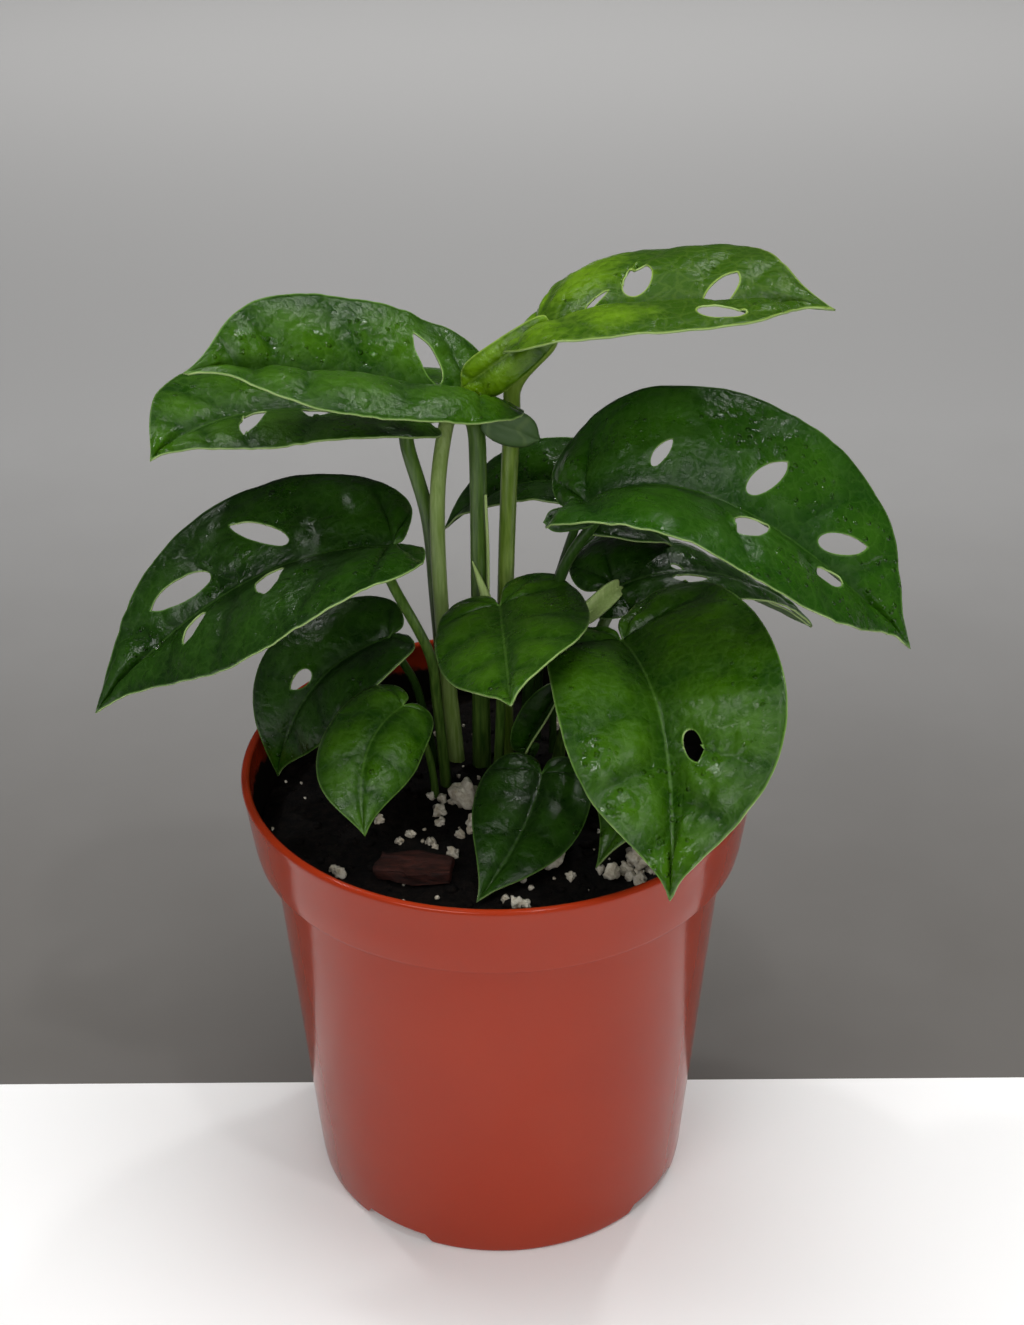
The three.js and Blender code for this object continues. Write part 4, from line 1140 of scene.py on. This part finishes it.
def make_drops(leaf, index):
    """Beads of water on the wet places of a leaf."""
    blade = Blade(leaf)
    draw = random.Random(100 + index)
    drops = bmesh.new()
    for at, out, radius in leaf["wet"]:
        for _ in range(max(2, round(radius * radius / DROP_SPACING))):
            angle, reach = draw.uniform(0, 2 * math.pi), radius * math.sqrt(draw.random())
            u, v = at + reach * math.cos(angle), out + reach * math.sin(angle)
            if abs(v) < 1 or not 2 < u < blade.length - 3 or in_a_hole(leaf, u, v) or outside(blade, u, v):
                continue
            size = DROP_RADIUS + DROP_GROWTH * draw.random() ** 2
            centre = blade.place(u, v, BLADE_THICKNESS / 2 + 0.35 * leaf["quilt"])
            normal = (blade.place(u, v, 1) - blade.place(u, v, 0)).normalized()
            tilt = normal.to_track_quat("Z", "Y").to_matrix()
            for vert in bmesh.ops.create_icosphere(drops, subdivisions=2, radius=size)["verts"]:
                flat = Vector((vert.co.x, vert.co.y, vert.co.z * DROP_HEIGHT))
                vert.co = tilt @ flat + centre
    if drops.verts:
        beads = add_piece("water_drops_" + leaf["name"], drops, [WATER])
        beads.visible_shadow = False  # clear water lets the light through to the skin under it
    else:
        drops.free()


def in_a_hole(leaf, u, v):
    """Whether a flat place lies in a hole of the leaf or close to one."""
    return any(math.hypot(u - hole[0], v - hole[1]) < hole[2] / 2 + 1.5 for hole in leaf["holes"])


def outside(blade, u, v):
    """Whether a flat place lies off the blade or close to its edge."""
    half = 1 if v >= 0 else 0
    edge = max(y for x, y in (blade.outline(half, i / 60) for i in range(61)) if abs(x - u) < 3)
    return abs(v) > edge - 2.5


# Stage, light and camera

def add_sheet(name, near, far, material):
    """A flat sheet on the ground between two distances from the front to the back, in metres."""
    sheet = bmesh.new()
    bmesh.ops.create_grid(sheet, x_segments=1, y_segments=1, size=1)
    for vert in sheet.verts:
        vert.co = (vert.co.x * 1.6, far if vert.co.y > 0 else near, 0)
    piece = mesh_object(name, sheet, [material])


def add_light(name, place, aim, size, power, mirrored):
    """A soft rectangular light that looks at a point. One that isn't mirrored leaves no sheen of its own."""
    data = bpy.data.lights.new(name, "AREA")
    data.shape = "RECTANGLE"
    data.size, data.size_y = size
    data.energy = power
    data.spread = math.radians(140)
    lamp = add_object(name, data)
    lamp.visible_camera = False
    lamp.visible_glossy = mirrored
    lamp.location = place
    lamp.rotation_euler = (Vector(aim) - Vector(place)).to_track_quat("-Z", "Y").to_euler()


def make_world():
    """A grey backdrop for the camera and a soft pale surround for light and reflections."""
    world = bpy.data.worlds.new("studio")
    world.use_nodes = True
    world.node_tree.nodes.clear()
    add = partial(add_node, world.node_tree)
    path = add("LightPath", out="Is Camera Ray")
    parts = add("SeparateXYZ", add("TexCoord", out="Generated"), out="Z")
    height = add("MapRange", parts, -0.66, -0.28)
    backdrop = add("MixRGB", height, linear("#686562"), linear("#b3b2b0"))
    surround = add("MapRange", parts.node.outputs["Y"], -0.2, 0.35, 0.2, 0.1)
    mirrored = add("MapRange", path.node.outputs["Is Glossy Ray"], 0, 1, 1, 0.45)
    level = add("Math", surround, mirrored, operation="MULTIPLY")
    grey = add("CombineColor", level, level, level)
    colour = add("MixRGB", path, grey, backdrop)
    add("OutputWorld", Surface=add("Background", Color=colour, Strength=1))
    bpy.context.scene.world = world


def make_camera():
    """The photograph's viewpoint: from the front, looking down."""
    data = bpy.data.cameras.new("camera")
    data.sensor_width = SENSOR_WIDTH
    data.lens = FOCAL_LENGTH
    data.clip_start, data.clip_end = 0.02, 30
    camera = add_object("camera", data)
    place = Matrix.Translation([coordinate * MM for coordinate in CAMERA_PLACE])
    pitch = Matrix.Rotation(math.radians(90 - CAMERA_DIP), 4, "X")
    roll = Matrix.Rotation(math.radians(CAMERA_ROLL), 4, "Z")
    camera.matrix_world = place @ pitch @ roll
    bpy.context.scene.camera = camera


make_camera()
make_pot()
make_mix()
make_crumbs()
make_perlite()
make_bark()
for number, leaf in enumerate(LEAVES):
    make_blade(leaf, number, "leaf_" + leaf["name"])
    make_stalk(leaf)
    make_drops(leaf, number)
make_shoot()
add_sheet("floor_card", -2.2, FLOOR_EDGE * MM, floor_card())
add_sheet("backdrop_sheet", FLOOR_EDGE * MM, 1.5, backdrop_cloth())
make_world()
for name, place, aim, size, power, mirrored in (
        ("overhead_softbox", (0.06, 0.1, 1.3), (0, 0, 0.1), (0.8, 0.6), 5.9, False),
        ("front_softbox", (-0.5, -0.9, 1.1), (0, 0, 0.1), (0.6, 0.4), 2.2, True),
        ("front_fill", (0.5, -1.6, 0.8), (0.1, 0, 0), (1.6, 1.0), 8, False),
        ("lamp_left", (-0.55, 0.45, 1.3), (0, 0, 0.15), (0.07, 0.07), 1.1, True),
        ("lamp_right", (0.45, 0.6, 1.2), (0, 0, 0.15), (0.07, 0.07), 1.1, True),
        ("lamp_front", (0.25, -0.5, 1.4), (0, 0, 0.15), (0.06, 0.06), 0.9, True),
        ("backdrop_light", (0, 1.2, 0.6), (0, 1.3, 0), (1.6, 0.3), 4, True)):
    add_light(name, place, aim, size, power, mirrored)
bpy.context.scene.view_settings.view_transform = "Standard"
